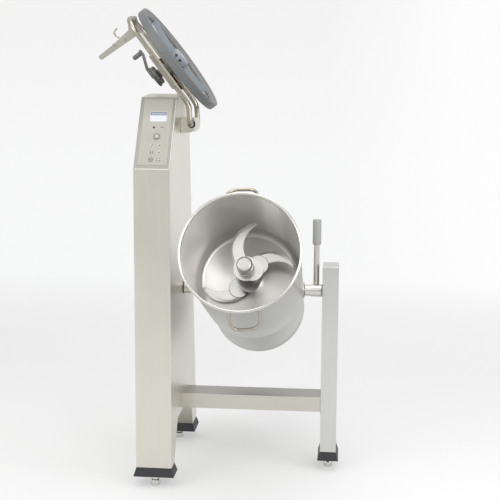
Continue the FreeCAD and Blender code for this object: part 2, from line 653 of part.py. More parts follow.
def housing():
    floor = "(-housing_low)"
    inner = "(housing_radius - housing_wall)"
    turned("motor_housing", "bowl", (
        ("cover_radius", floor), ("housing_radius - housing_round", floor),
        ("housing_radius - housing_round * 0.29", floor + " + housing_round * 0.29"),
        ("housing_radius", floor + " + housing_round"), ("housing_radius", "seam_up - flange_wall / 3"),
        (SEAM_RADIUS, "seam_up - flange_wall / 3"), (SEAM_RADIUS, "seam_up"),
        (inner, "seam_up"), (inner, floor + " + housing_round"),
        (inner + " - housing_round * 0.29", floor + " + housing_round * 0.29 + housing_wall / 2"),
        (inner + " - housing_round", floor + " + housing_wall"),
        ("cover_radius", floor + " + housing_wall")))
    turned("motor_cover", "bowl", (
        ("0", floor), ("cover_radius", floor), ("cover_radius", floor + " + housing_wall"),
        ("cover_radius + 2 * housing_wall", floor + " + housing_wall"),
        ("cover_radius + 2 * housing_wall", floor + " + 2 * housing_wall"),
        ("0", floor + " + 2 * housing_wall")))
    turned("motor_flange", "bowl", (
        ("race_radius", "seam_up - flange_wall"), (inner, "seam_up - flange_wall"), (inner, "seam_up"),
        ("chimney_radius + 10", "seam_up"), ("chimney_radius + 10", "seam_up + flange_wall"),
        ("chimney_bore", "seam_up + flange_wall"), ("chimney_bore", "seam_up"),
        ("race_radius", "seam_up")))
    turned("motor_casing", "bowl", (
        ("shaft_radius + 4", "-casing_low"), ("casing_radius", "-casing_low"),
        ("casing_radius", "seam_up - flange_wall"),
        ("race_radius", "seam_up - flange_wall"), ("race_radius", "seam_up - flange_wall - race_height"),
        ("shaft_radius + 4", "seam_up - flange_wall - race_height"),
        ("shaft_radius + 4", "seam_up - flange_wall - race_height - casing_wall"),
        ("casing_radius - casing_wall", "seam_up - flange_wall - race_height - casing_wall"),
        ("casing_radius - casing_wall", "-casing_low + race_height + casing_wall"),
        ("race_radius", "-casing_low + race_height + casing_wall"),
        ("race_radius", "-casing_low + casing_wall"), ("shaft_radius + 4", "-casing_low + casing_wall")))
    ring("stator", "bowl", "stator_bore", "casing_radius - casing_wall", "-stator_low", "-stator_high")
    together("motor_bearings", [
        sleeve("race", "bowl", "shaft_radius + running_gap", "race_radius", low, low + " + race_height")
        for low in ("seam_up - flange_wall - race_height", "-casing_low + casing_wall")])
    ring("shaft_seal", "bowl", "shaft_radius + running_gap", "chimney_bore",
         "chimney_up - 2 * bowl_wall - 10", "chimney_up - 2 * bowl_wall")


def trunnions():
    walls = [[cylinder("housing_side", "bowl", "housing_radius", "2 * bearing_radius + seam_up",
                       z="-2 * bearing_radius"),
              cylinder("bowl_side", "bowl", SEAM_RADIUS + " + bowl_wall / 4", "2 * bearing_radius",
                       z="seam_up - flange_wall / 3")] for _ in range(2)]
    block_end = "(column_width - sheet_wall - left_block_depth)"
    left_end = f"(bowl_x - {block_end} + brake_lining_wall + joint_gap + brake_disc_wall + nut_length)"
    left = cylinder("left_journal", "bowl", "trunnion_radius", left_end, turn=ALONG_X, x=f"-{left_end}")
    right_end = "(leg_x + leg_width - 2 * tube_wall - bowl_x)"
    right = cylinder("right_journal", "bowl", "trunnion_radius", right_end, turn=ALONG_X)
    together("trunnions", [cut("left_trunnion", left, *walls[0]),
                           cut("right_trunnion", right, *walls[1])])
    disc = sleeve("disc", "bowl", "trunnion_radius", "brake_radius", "0", "brake_disc_wall", turn=ALONG_X,
                  x=f"-{left_end} + nut_length")
    body = new_body("brake_nut")
    section = new_sketch(body, "YZ_Plane")
    outline(section, [(f"nut_radius * cos({60 * i})", f"nut_radius * sin({60 * i})") for i in range(6)])
    circle(section, "trunnion_radius")
    pad(body, section, "nut_length")
    place(body, "bowl", x=f"-{left_end}")
    joined("brake_disc", [disc, body])


def tilt_lever():
    middle = "(collar_left + collar_length / 2)"
    collar = sleeve("lever_collar", "lever", "trunnion_radius", "collar_radius", "0", "collar_length",
                    turn=ALONG_X, x="collar_left")
    rod = cylinder("rod", "lever", "lever_radius", "lever_top - trunnion_radius - tube_wall / 2", x=middle,
                   z="trunnion_radius + tube_wall / 2")
    joined("tilt_lever", [collar, rod])
    turned("lever_grip", "lever", (
        ("lever_radius", "grip_low"), ("grip_radius * 0.85", "grip_low"),
        ("grip_radius", "grip_low + grip_radius / 3"), ("grip_radius", "grip_high - grip_radius / 2"),
        ("grip_radius * 0.75", "grip_high"), ("0", "grip_high"), ("0", "lever_top"),
        ("lever_radius", "lever_top")), x=middle)


# Bowl and blades

def wall_inside(z):
    """The bowl's inner radius at a height above the trunnion axis."""
    return (f"({SEAM_RADIUS} - bowl_wall + ({WALL_RADIUS} - {SEAM_RADIUS}) * (({z}) - seam_up)"
            " / (rim_up - 2 * rim_roll - seam_up))")


def bowl():
    floor_top = "(floor_up + floor_rise)"
    turned("bowl", "bowl", (
        (SEAM_RADIUS + " - bowl_wall", "seam_up"), (SEAM_RADIUS, "seam_up"),
        (WALL_RADIUS, "rim_up - 2 * rim_roll"), ("rim_radius - rim_roll / 3", "rim_up - 2 * rim_roll"),
        ("rim_radius", "rim_up - 1.5 * rim_roll"), ("rim_radius", "rim_up - rim_roll / 2"),
        ("rim_radius - rim_roll / 2", "rim_up"), (WALL_RADIUS + " - bowl_wall / 3", "rim_up"),
        (WALL_RADIUS + " - bowl_wall", "rim_up - rim_roll / 2"),
        (wall_inside("floor_up + 8 * bowl_wall"), "floor_up + 8 * bowl_wall"),
        (wall_inside("floor_up + 3 * bowl_wall") + " - bowl_wall", "floor_up + 3 * bowl_wall"),
        (SEAM_RADIUS + " - 4 * bowl_wall", "floor_up"),
        ("chimney_radius + bowl_wall", floor_top), ("chimney_radius", "chimney_up"),
        ("chimney_bore", "chimney_up"), ("chimney_bore", "chimney_up - 8 * bowl_wall"),
        ("chimney_radius - bowl_wall", "chimney_up - 8 * bowl_wall"),
        ("chimney_radius - bowl_wall", floor_top + " - bowl_wall"),
        (SEAM_RADIUS + " - bowl_wall", "floor_up - bowl_wall")))
    half, reach = size("bail_width") / 2, size("bail_reach")
    root_z = size("rim_up") - size("bail_root_down")
    rise = (root_z - size("seam_up")) / (size("rim_up") - 2 * size("rim_roll") - size("seam_up"))
    seam_radius = size("housing_radius") + size("seam_stand")
    wall_radius = size("rim_radius") - size("rim_stand")
    wall = seam_radius + (wall_radius - seam_radius) * rise
    inside = math.sqrt(wall ** 2 - half ** 2) - 3 * size("bowl_wall")
    drop = size("bail_drop") * 3 * size("bowl_wall") / reach
    far_z = root_z - size("bail_drop")
    cone = Part.makeCone(seam_radius, wall_radius,
                         size("rim_up") - 2 * size("rim_roll") - size("seam_up"),
                         FreeCAD.Vector(0, 0, size("seam_up")))
    points = ((-half, -inside, root_z + drop), (-half, -inside - reach, far_z),
              (half, -inside - reach, far_z), (half, -inside, root_z + drop))
    bail = bar(points, [size("bail_bend")] * 2, size("bail_radius")).cut(cone)
    together("bowl_handles", [bent("bail", "bowl", bail, turn=f"rotation(vector(0; 0; 1); {turn})")
                              for turn in ("front_bail_turn", "rear_bail_turn + 180")])


def blade(label, up, turn, boss):
    """A crescent, ground on its outer edge, on a root disc with a rounded tail."""
    turn = f"rotation(vector(0; 0; 1); {turn})"

    def disc(name, radius, x="0", y="0", height="blade_wall"):
        body = new_body(name)
        sketch = new_sketch(body, "XY_Plane")
        circle(sketch, radius, x, y)
        pad(body, sketch, height)
        place(body, "bowl", z=up, turn=turn)
        return body

    back = doc.addObject("Part::Cone", label + "_back")
    drive(back, "Radius1", "back_radius + blade_grind")
    drive(back, "Radius2", "back_radius")
    drive(back, "Height", "blade_wall")
    drive(back, "Placement", f"{GROUPS['bowl']} * placement(vector(0; 0; {up}); {turn})"
                             f" * placement(vector(back_across; back_up; 0); {FLAT})")
    ends = new_body(label + "_ends")
    sketch = new_sketch(ends, "XY_Plane")
    outline(sketch, (
        ("tip_across + 2 * blade_grind", "tip_up + 2 * blade_grind * tip_slope"),
        ("tip_across - 5 * blade_grind", "tip_up - 5 * blade_grind * tip_slope"),
        ("tip_across - 5 * blade_grind", "-tail_cut"), ("-2 * tail_cut", "-tail_cut"),
        ("-2 * tail_cut", "-4 * tail_cut"), ("2 * back_radius + 4 * blade_grind", "-4 * tail_cut"),
        ("2 * back_radius + 4 * blade_grind", "tip_up + 2 * blade_grind * tip_slope")))
    pad(ends, sketch, "blade_wall")
    place(ends, "bowl", z=up, turn=turn)
    arm = cut(label + "_arm", back, disc(label + "_belly", "belly_radius", "belly_across", "belly_up"), ends)
    pieces = [arm, disc(label + "_root", "root_radius"),
              disc(label + "_tail", "tail_radius", "0", "-tail_across")]
    if boss:
        pieces += [disc(label + "_boss", "boss_radius", "boss_across", "boss_up", "blade_wall + boss_wall"),
                   disc(label + "_ring", "root_radius", height="blade_wall + boss_wall")]
    whole = doc.addObject("Part::MultiFuse", label + "_solid")
    whole.Shapes = pieces
    whole.Refine = True
    bore = disc(label + "_bore", "hub_radius", height="2 * blade_wall + boss_wall")
    node(cut(label, whole, bore), label)


def rotor():
    ring("motor_shaft", "bowl", "0", "shaft_radius", "-shaft_low", "shaft_high")
    ring("rotor_core", "bowl", "shaft_radius", "stator_bore - air_gap", "-stator_low", "-stator_high")
    ring("blade_hub", "bowl", "shaft_radius", "hub_radius", "chimney_up + joint_gap", "shaft_high")
    blade("lower_blade", "blade_low_up", "blade_first_turn + blade_low_turn", True)
    blade("middle_blade", "blade_mid_up", "blade_first_turn + blade_mid_turn", True)
    blade("upper_blade", "blade_high_up", "blade_first_turn", False)
    thick = " + blade_wall + boss_wall"
    gaps = (("chimney_up + joint_gap", "blade_low_up"), ("blade_low_up" + thick, "blade_mid_up"),
            ("blade_mid_up" + thick, "blade_high_up"))
    together("blade_spacers", [sleeve("spacer", "bowl", "hub_radius", "spacer_radius", low, high)
                               for low, high in gaps])
    turned("blade_knob", "bowl", (
        ("hub_radius", "blade_high_up + blade_wall"), ("knob_radius + 1", "blade_high_up + blade_wall"),
        ("knob_radius + 1", "blade_high_up + 2 * blade_wall"), ("hub_radius + 1", "knob_low - blade_wall"),
        ("hub_radius + 1", "knob_low"), ("knob_radius", "knob_low"),
        ("knob_radius", "knob_high - knob_radius / 5"), ("knob_radius * 0.8", "knob_high"),
        ("0", "knob_high"), ("0", "shaft_high"), ("hub_radius", "shaft_high")))


# Lid, drawn closed round its pivot

def hinge():
    body = new_body("hinge_block")
    section = new_sketch(body, "XZ_Plane")
    inner = "column_width - pivot_x"
    outline(section, (
        (inner, "-hinge_down"), ("-hinge_nose / 3", "-hinge_down + 1"),
        ("hinge_nose * 0.55", "-hinge_down * 0.7"), ("hinge_nose", "-hinge_down * 0.3"),
        ("hinge_nose", "hinge_up * 0.45"), ("hinge_nose * 0.6", "hinge_up - 1"), (inner, "hinge_up")))
    circle(section, "bush_radius")
    pad(body, section, "2 * hinge_half", centred=True)
    place(body, "frame", x="pivot_x", y="trunnion_y", z="pivot_z")
    node(body, "hinge_block")
    together("hinge_bushes", [
        sleeve("bush", "frame", "arm_radius + running_gap", "bush_radius", "0", "bush_length",
               turn=ALONG_Y, x="pivot_x", y=f"trunnion_y + {start}", z="pivot_z")
        for start in ("(-hinge_half - bush_proud)", "(hinge_half + bush_proud - bush_length)")])


def lid_arm():
    half, end, drop = size("arm_half"), size("arm_end"), -size("arm_drop")
    start, reach = size("arm_start"), size("arm_reach")
    points = ((0, -end, 0), (0, -half, 0), (start, -half, drop), (reach, -half, drop),
              (reach, half, drop), (start, half, drop), (0, half, 0), (0, end, 0))
    bends = (size("arm_knee"), size("arm_bend"), size("arm_bend"), size("arm_bend"), size("arm_bend"),
             size("arm_knee"))
    node(bent("arm", "lid", bar(points, bends, size("arm_radius"))), "lid_arm")
    outer, top = "(arm_half + arm_radius)", "(arm_radius - arm_drop)"
    body = new_body("saddle")
    section = new_sketch(body, "YZ_Plane", "saddle_near")
    outline(section, (
        (f"-{outer} - saddle_wall", top + " - saddle_skirt"), (f"-{outer}", top + " - saddle_skirt"),
        (f"-{outer}", top), (outer, top), (outer, top + " - saddle_skirt"),
        (outer + " + saddle_wall", top + " - saddle_skirt"),
        (outer + " + saddle_wall", top + " + saddle_wall"),
        (f"-{outer} - saddle_wall", top + " + saddle_wall")))
    pad(body, section, "saddle_far - saddle_near")
    hole = new_sketch(body, "XY_Plane", top)
    circle(hole, "axle_bush_radius - saddle_wall", LID_X)
    pocket(body, hole, "saddle_wall")
    place(body, "lid")
    node(body, "saddle_plate")
    plate_low, plate_high = top, f"({top} + saddle_wall)"
    turned("lid_bush", "lid", (
        ("axle_radius + running_gap", AXLE_PANE + " + pane_wall"),
        ("0.94 * pane_flat", AXLE_PANE + " + pane_wall"),
        ("0.94 * pane_flat", AXLE_PANE + " + 2 * pane_wall"),
        ("axle_bush_radius", AXLE_PANE + " + 2 * pane_wall"),
        ("axle_bush_radius", plate_low), ("axle_bush_radius - saddle_wall", plate_low),
        ("axle_bush_radius - saddle_wall", "crank_hub_low - joint_gap"),
        ("axle_radius + running_gap", "crank_hub_low - joint_gap")), x=LID_X)
    together("lid_nuts", [
        sleeve("lid_nut", "lid", "axle_bush_radius - saddle_wall", "axle_bush_radius + saddle_wall",
               plate_high, plate_high + " + 2 * saddle_wall", x=LID_X),
        sleeve("pane_washer", "lid", "1.2 * axle_radius", "0.88 * pane_flat", AXLE_PANE + " - washer_wall",
               AXLE_PANE, x=LID_X)])


def lid():
    seat = f"({RIM_Z} + joint_gap)"
    top = f"({RING_LOW} + ring_height)"
    flange = f"({seat} + gasket_height)"
    turned("lid_ring", "lid", (
        ("rim_radius + rim_slack", RING_LOW), ("ring_radius - ring_round / 2", RING_LOW),
        ("ring_radius", RING_LOW + " + ring_round / 2"), ("ring_radius", top + " - ring_round"),
        ("ring_radius - ring_round / 3", top + " - ring_round / 3"), ("ring_radius - ring_round", top),
        ("ring_lip + ring_round / 2", top), ("ring_lip", top + " - ring_round / 2"),
        ("ring_lip", PANE_LOW + " + pane_wall"), ("ring_lip + pane_hold", PANE_LOW + " + pane_wall"),
        ("ring_lip + pane_hold", PANE_LOW), ("ring_lip", PANE_LOW), ("ring_lip", flange),
        ("rim_radius + rim_slack", flange)), x=LID_X)
    turned("lid_gasket", "lid", (
        ("gasket_inner + gasket_lip", seat), ("rim_radius + rim_slack", seat),
        ("rim_radius + rim_slack", flange),
        ("gasket_inner", flange), ("gasket_inner", RING_LOW + " + 1"),
        ("gasket_inner + gasket_lip * 0.6", RING_LOW + " + 1"),
        ("gasket_inner + gasket_lip", RING_LOW + " + 5")), x=LID_X)
    turned("lid_pane", "lid", (
        ("1.2 * axle_radius", AXLE_PANE), ("pane_flat", AXLE_PANE), ("ring_lip - pane_hold", PANE_LOW),
        ("ring_lip + pane_hold", PANE_LOW), ("ring_lip + pane_hold", PANE_LOW + " + pane_wall"),
        ("ring_lip - 1.25 * pane_hold", PANE_LOW + " + pane_wall"),
        ("pane_flat", AXLE_PANE + " + pane_wall"),
        ("1.2 * axle_radius", AXLE_PANE + " + pane_wall")), x=LID_X)


def wiper():
    hub_top = f"({AXLE_PANE} - washer_wall - joint_gap)"
    hub_low = f"({hub_top} - wiper_hub_height)"
    ring("wiper_axle", "lid", "0", "axle_radius", hub_low, "crank_hub_high", x=LID_X)
    pieces = [lathe("wiper_hub", "lid", (
        ("axle_radius", hub_low), ("wiper_hub_radius * 0.8", hub_low),
        ("wiper_hub_radius", hub_low + " + 5"),
        ("wiper_hub_radius", hub_top), ("axle_radius", hub_top)), x=LID_X)]
    slope = "pane_rise / (ring_lip - pane_flat)"
    for label, way in (("long_wiper_arm", 0), ("short_wiper_arm", 180)):
        body = new_body(label)
        section = new_sketch(body, "XZ_Plane")
        reach = "wiper_reach" if way == 0 else "(wiper_reach - 10)"
        fall = f"(({reach} - wiper_hub_radius) * {slope} + joint_gap)"
        outline(section, (
            ("wiper_hub_radius - 3", hub_top), (reach, f"{hub_top} - {fall}"),
            (reach, f"{hub_top} - {fall} - wiper_tip + 3"),
            (reach + " - 6", f"{hub_top} - {fall} - wiper_tip"),
            ("wiper_hub_radius - 3", hub_top + " - wiper_root")))
        pad(body, section, "wiper_wall", centred=True)
        place(body, "lid", x=LID_X, turn=f"rotation(vector(0; 0; 1); {way})")
        pieces.append(body)
    joined("wiper", pieces)
    turned("crank_hub", "lid", (
        ("axle_radius", "crank_hub_low"), ("crank_hub_radius - 3", "crank_hub_low"),
        ("crank_hub_radius", "crank_hub_low + 3"), ("crank_hub_radius", "crank_hub_high - crank_lip_wall"),
        ("crank_lip", "crank_hub_high - crank_lip_wall"), ("crank_lip", "crank_hub_high"),
        ("axle_radius", "crank_hub_high")), x=LID_X)
    body = new_body("crank_arm")
    section = new_sketch(body, "XZ_Plane")
    root, end = "crank_hub_high", "(crank_hub_high - crank_end_drop)"
    outline(section, (
        ("0", root), ("crank_lip", root), ("crank_reach - 1.1 * crank_grip_radius", end),
        ("crank_reach + 1.1 * crank_grip_radius", end),
        ("crank_reach + 1.1 * crank_grip_radius", end + " + crank_wall"),
        ("crank_reach - 1.1 * crank_grip_radius", end + " + crank_wall"),
        ("crank_lip", root + " + crank_wall"), ("0", root + " + crank_wall")))
    pad(body, section, "crank_width", centred=True)
    place(body, "lid", x=LID_X)
    pin_x = f"({LID_X} + crank_reach)"
    grip_low = f"({end} + crank_wall + joint_gap)"
    pin = lathe("crank_pin", "lid", (
        ("0", end + " + crank_wall"), ("crank_pin_radius", end + " + crank_wall"),
        ("crank_pin_radius", grip_low + " + crank_grip_length + joint_gap"),
        ("crank_grip_radius * 0.7", grip_low + " + crank_grip_length + joint_gap"),
        ("crank_grip_radius * 0.7", grip_low + " + crank_grip_length + joint_gap + 2"),
        ("0", grip_low + " + crank_grip_length + joint_gap + 2")), x=pin_x)
    joined("crank_arm", [body, pin])
    turned("crank_grip", "lid", (
        ("crank_pin_radius + running_gap", grip_low), ("crank_grip_radius - 1", grip_low),
        ("crank_grip_radius", grip_low + " + 2"),
        ("crank_grip_radius", grip_low + " + crank_grip_length - 2"),
        ("crank_grip_radius - 1", grip_low + " + crank_grip_length"),
        ("crank_pin_radius + running_gap", grip_low + " + crank_grip_length")), x=pin_x)


def latch():
    body = new_body("latch_lever")
    section = new_sketch(body, "XZ_Plane")
    outline(section, (
        ("-0.231 * latch_length", "latch_length"), ("-0.177 * latch_length", "latch_length"),
        ("-0.156 * latch_length", "0.973 * latch_length"),
        ("-0.151 * latch_length", "latch_length * 0.6"), ("-0.108 * latch_length", "2 * latch_collar"),
        ("latch_collar", "latch_collar / 2"),
        ("latch_collar", "-latch_collar / 2"), ("latch_collar / 4", "-1.5 * latch_collar"),
        ("-3.5 * latch_collar", "-0.2 * latch_collar"), ("-0.29 * latch_length", "2 * latch_collar"),
        ("-0.253 * latch_length", "0.973 * latch_length")))
    circle(section, "arm_radius + running_gap")
    pad(body, section, "latch_wall", centred=True)
    place(body, "lid", x="arm_reach", z="-arm_drop")
    collar = sleeve("latch_collar", "lid", "arm_radius + running_gap", "latch_collar", "0",
                    "2 * latch_collar_half", turn=ALONG_Y, x="arm_reach", y="-latch_collar_half",
                    z="-arm_drop")
    joined("latch_lever", [body, collar])
    across, long = size("latch_wall") / 2 + size("latch_rod"), size("latch_length")
    points = ((-0.215 * long, across, 0.355 * long), (-0.043 * long, across, 0.457 * long),
              (0.048 * long, across, 0.452 * long), (0.075 * long, across, 0.344 * long))
    hook = bar(points, (3.4 * size("latch_rod"), 2.3 * size("latch_rod")), size("latch_rod"))
    node(bent("hook", "lid", hook, x="arm_reach", z="-arm_drop"), "latch_hook")


column()
rear_cover()
control_panel()
pads_and_feet()
stand()
bearings()
housing()
trunnions()
tilt_lever()
bowl()
rotor()
hinge()
lid_arm()
lid()
wiper()
latch()
doc.recompute()

for item in doc.Objects:
    if "Invalid" in item.State or "Error" in item.State:
        raise RuntimeError(f"{item.Name} ({item.Label}) failed: {item.State}")
labels = [item.Label for item in nodes]
if len(set(labels)) != len(labels):
    raise RuntimeError("two sub-parts have the same label")
for item in nodes:
    if item.Shape.isNull() or not item.Shape.isValid() or not item.Shape.Solids:
        raise RuntimeError(f"{item.Label} has no valid solid")

os.makedirs("parts", exist_ok=True)
for item in nodes:
    item.Shape.exportStep(os.path.join("parts", item.Label + ".step"))
whole = Part.makeCompound([item.Shape for item in nodes]).BoundBox
print(f"{len(nodes)} sub-parts, {whole.XLength:.1f} x {whole.YLength:.1f} x {whole.ZLength:.1f} mm")
print(f"box middle at x {whole.Center.x:.2f}, y {whole.Center.y:.2f}; lowest point {whole.ZMin:.2f}")
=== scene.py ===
"""Looks of a vertical cutter mixer: satin stainless steel, a clear lid in a grey ring and black pads.

Lengths are in metres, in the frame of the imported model: the floor is at z 0, the operator stands at -y.
"""
import math

import bmesh
import bpy
from mathutils import Matrix, Vector


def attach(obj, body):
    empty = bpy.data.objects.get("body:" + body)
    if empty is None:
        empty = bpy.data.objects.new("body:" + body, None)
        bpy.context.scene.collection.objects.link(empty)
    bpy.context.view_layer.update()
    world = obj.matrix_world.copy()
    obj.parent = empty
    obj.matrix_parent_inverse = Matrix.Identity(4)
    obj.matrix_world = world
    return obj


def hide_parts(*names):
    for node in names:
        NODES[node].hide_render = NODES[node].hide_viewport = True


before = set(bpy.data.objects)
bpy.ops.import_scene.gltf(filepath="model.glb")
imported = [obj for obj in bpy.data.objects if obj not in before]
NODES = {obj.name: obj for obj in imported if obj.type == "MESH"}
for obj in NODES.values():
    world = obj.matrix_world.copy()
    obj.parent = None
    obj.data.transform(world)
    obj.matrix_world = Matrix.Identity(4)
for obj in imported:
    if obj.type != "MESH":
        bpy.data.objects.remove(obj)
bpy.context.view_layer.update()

# Places of the machine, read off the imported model's own nodes
TRUNNION = Vector((0.1275, 0.095, 0.705))
BOWL_TILT = math.radians(64.6)
BOWL = Matrix.Translation(TRUNNION) @ Matrix.Rotation(BOWL_TILT, 4, "X")
PIVOT = Vector((-0.1035, 0.095, 1.343))
LID_OPEN = math.radians(126.6)
LID = Matrix.Translation(PIVOT) @ Matrix.Rotation(-LID_OPEN, 4, "Y")
LID_AXIS = LID @ Matrix.Translation((0.231, 0, 0))
FOLD = Vector((-0.2785, -0.183, 1.185))
FASCIA_LEAN = math.atan(152 / 257)
QUARTER = math.pi / 2
# On the keypad x goes to the right, y up the slope and z out of it
FASCIA = Matrix.Translation(FOLD) @ Matrix.Rotation(QUARTER - FASCIA_LEAN, 4, "X")


# Shader maths

class Wire:
    """One output of a shader node; sums and products of wires add their Math nodes."""

    def __init__(self, finish, socket):
        self.finish, self.socket = finish, socket

    def maths(self, operation, *terms):
        return self.finish.node("ShaderNodeMath", {"operation": operation}, dict(enumerate(terms)))

    def __add__(self, other):
        return self.maths("ADD", self, other)

    def __sub__(self, other):
        return self.maths("SUBTRACT", self, other)

    def __rsub__(self, other):
        return self.maths("SUBTRACT", other, self)

    def __mul__(self, other):
        return self.maths("MULTIPLY", self, other)

    def __truediv__(self, other):
        return self.maths("DIVIDE", self, other)

    def __pow__(self, other):
        return self.maths("POWER", self, other)

    def __gt__(self, other):
        return self.maths("GREATER_THAN", self, other)

    def clamped(self):
        return self.finish.node("ShaderNodeClamp", {}, {0: self})

    __radd__, __rmul__ = __add__, __mul__


class Finish:
    """The shader nodes of one material, or of the world."""

    def __init__(self, name, owner=None):
        self.owner = owner or bpy.data.materials.new(name)
        self.owner.use_nodes = True
        self.tree = self.owner.node_tree
        self.tree.nodes.clear()

    def node(self, kind, settings=None, sockets=None, out=0):
        """Adds a node, sets it up, fills its sockets with values or wires, and gives one output."""
        added = self.tree.nodes.new(kind)
        for name, setting in (settings or {}).items():
            setattr(added, name, setting)
        for key, value in (sockets or {}).items():
            if isinstance(value, Wire):
                self.tree.links.new(value.socket, added.inputs[key])
            else:
                added.inputs[key].default_value = value
        return Wire(self, added.outputs[out])

    def place(self, turn=None, stretch=(1, 1, 1)):
        """The point of the surface in the model's frame, or in a piece's own upright frame."""
        point = self.node("ShaderNodeTexCoord", out="Object")
        if turn is not None:
            back = turn.inverted()
            point = self.node("ShaderNodeMapping", {}, {
                "Vector": point, "Location": back.translation, "Rotation": back.to_euler()})
        return self.node("ShaderNodeVectorMath", {"operation": "MULTIPLY"}, {0: point, 1: stretch})

    def noise(self, point, scale, detail, rough):
        return self.node("ShaderNodeTexNoise", {}, {
            "Vector": point, "Scale": scale, "Detail": detail, "Roughness": rough})

    def split(self, point):
        """The x, y and z of a point or a direction."""
        apart = self.node("ShaderNodeSeparateXYZ", {}, {0: point})
        return [Wire(self, apart.socket.node.outputs[i]) for i in range(3)]

    def mix(self, amount, first, second):
        """A colour between two colours; the colour mix has its own numbers among the node's sockets."""
        return self.node("ShaderNodeMix", {"data_type": "RGBA"}, {0: amount, 6: first, 7: second}, out=2)

    def bump(self, height, depth, strength):
        return self.node("ShaderNodeBump", {}, {"Height": height, "Distance": depth, "Strength": strength})

    def surface(self, **sockets):
        """Ends the material with its surface; a socket is named in lower case, with _ for a space."""
        names = {"ior": "IOR"}
        filled = {names.get(k, k.replace("_", " ").title()): v for k, v in sockets.items()}
        self.end(self.node("ShaderNodeBsdfPrincipled", {}, filled))
        return self.owner

    def end(self, shader):
        """Joins a shader to the output of the material or the world."""
        kind = "World" if isinstance(self.owner, bpy.types.World) else "Material"
        last = self.tree.nodes.new(f"ShaderNodeOutput{kind}")
        self.tree.links.new(shader.socket, last.inputs[0])


def rgb(red, green, blue):
    return (red, green, blue, 1)


def tinted(colour, times):
    """The same colour, this many times as light."""
    return tuple(times * part for part in colour[:3]) + (1,)


# Finishes

# Painted shade for the front of the column's rear leg near the floor, under the arch
PAINTED_LEG_SHADE = rgb(0.20, 0.18, 0.145)


def paint_lean_shade(finish, point, colour, shade, low, high, least):
    """Paints shade on the fronts that lean back and, near the floor, on the front of the column's rear leg.

    A leaning front gets painted shade, 'least' times as light as the colour from the height 'high' up, and
    less dark below 'low'. Also gives the mask of those fronts.
    """
    _, front, upward = finish.split(finish.node("ShaderNodeNewGeometry", out="Normal"))
    _, back, up = finish.split(point)
    # Painted shade under the arch, on the rear leg's front near the floor
    painted_nook_shade = ((0.20 - up) * 60.0).clamped() * ((back - 0.25) * 20.0).clamped() * (front * -1.0).clamped()
    shade = finish.mix(painted_nook_shade * 0.8, shade, PAINTED_LEG_SHADE)
    lean = ((upward - 0.06) * 14.0).clamped() * ((front * -1.0 - 0.5) * 5.0).clamped()
    height = ((up - low) / (high - low)).clamped()
    return finish.mix(lean * (height * 0.35 + 0.65), shade, tinted(colour, least)), lean


def brushed(name, colour, lines, turn=None, rough=0.32, depth=0.00002, painted_top_shade=None, painted_slope_shade=None):
    """Ground stainless: fine lines, stretched by 'lines', over a faint cloudiness.

    Level faces get a painted shade 'crown' times as light; 'slope' is what leaning() takes to paint shade on
    fronts that lean back.
    """
    finish = Finish(name)
    point = finish.place(turn)
    streaks = finish.noise(finish.place(turn, lines), 1.0, 4.0, 0.62)
    clouds = finish.noise(point, 5.0, 3.0, 0.5)
    shade = finish.mix((streaks * 0.55 + clouds * 0.45).clamped(), tinted(colour, 0.80), colour)
    gloss = streaks * 0.14 + clouds * 0.10 + (rough - 0.12)
    # Painted shade: faces that look up are darkened by the 'crown' factor
    if painted_top_shade:
        upward = finish.split(finish.node("ShaderNodeNewGeometry", out="Normal"))[2]
        shade = finish.mix(((upward - 0.7) * 5.0).clamped(), shade, tinted(colour, painted_top_shade))
    # Painted shade on the leaning fronts and on the rear leg's front; the leaning fronts are also rougher
    if painted_slope_shade:
        shade, lean = paint_lean_shade(finish, point, colour, shade, *painted_slope_shade)
        gloss = gloss + lean * 0.14
    return finish.surface(base_color=shade, metallic=1.0, roughness=gloss.clamped(),
                          normal=finish.bump(streaks, depth, 0.5))


# The spun metal's painted reflections, light and dark fans: the angle about the bowl's axis, how narrow and
# how strong
PAINTED_BRIGHT_STREAK = (62, 40.0)
WALL_PAINTED_FANS = ((180, 2.0, 0.50), (*PAINTED_BRIGHT_STREAK, 0.80), (35, 9.0, 0.15), (118, 9.0, -0.16))
FLOOR_PAINTED_FANS = ((178, 3.0, 0.55), (-33, 9.0, 0.60), (-75, 16.0, -0.30), (45, 3.0, -0.10))
OUTER_PAINTED_FANS = ((180, 2.0, 0.40), (0, 2.0, 0.12))
WALL_FOOT = 0.158
RIM_POLISH = rgb(0.64, 0.635, 0.60)


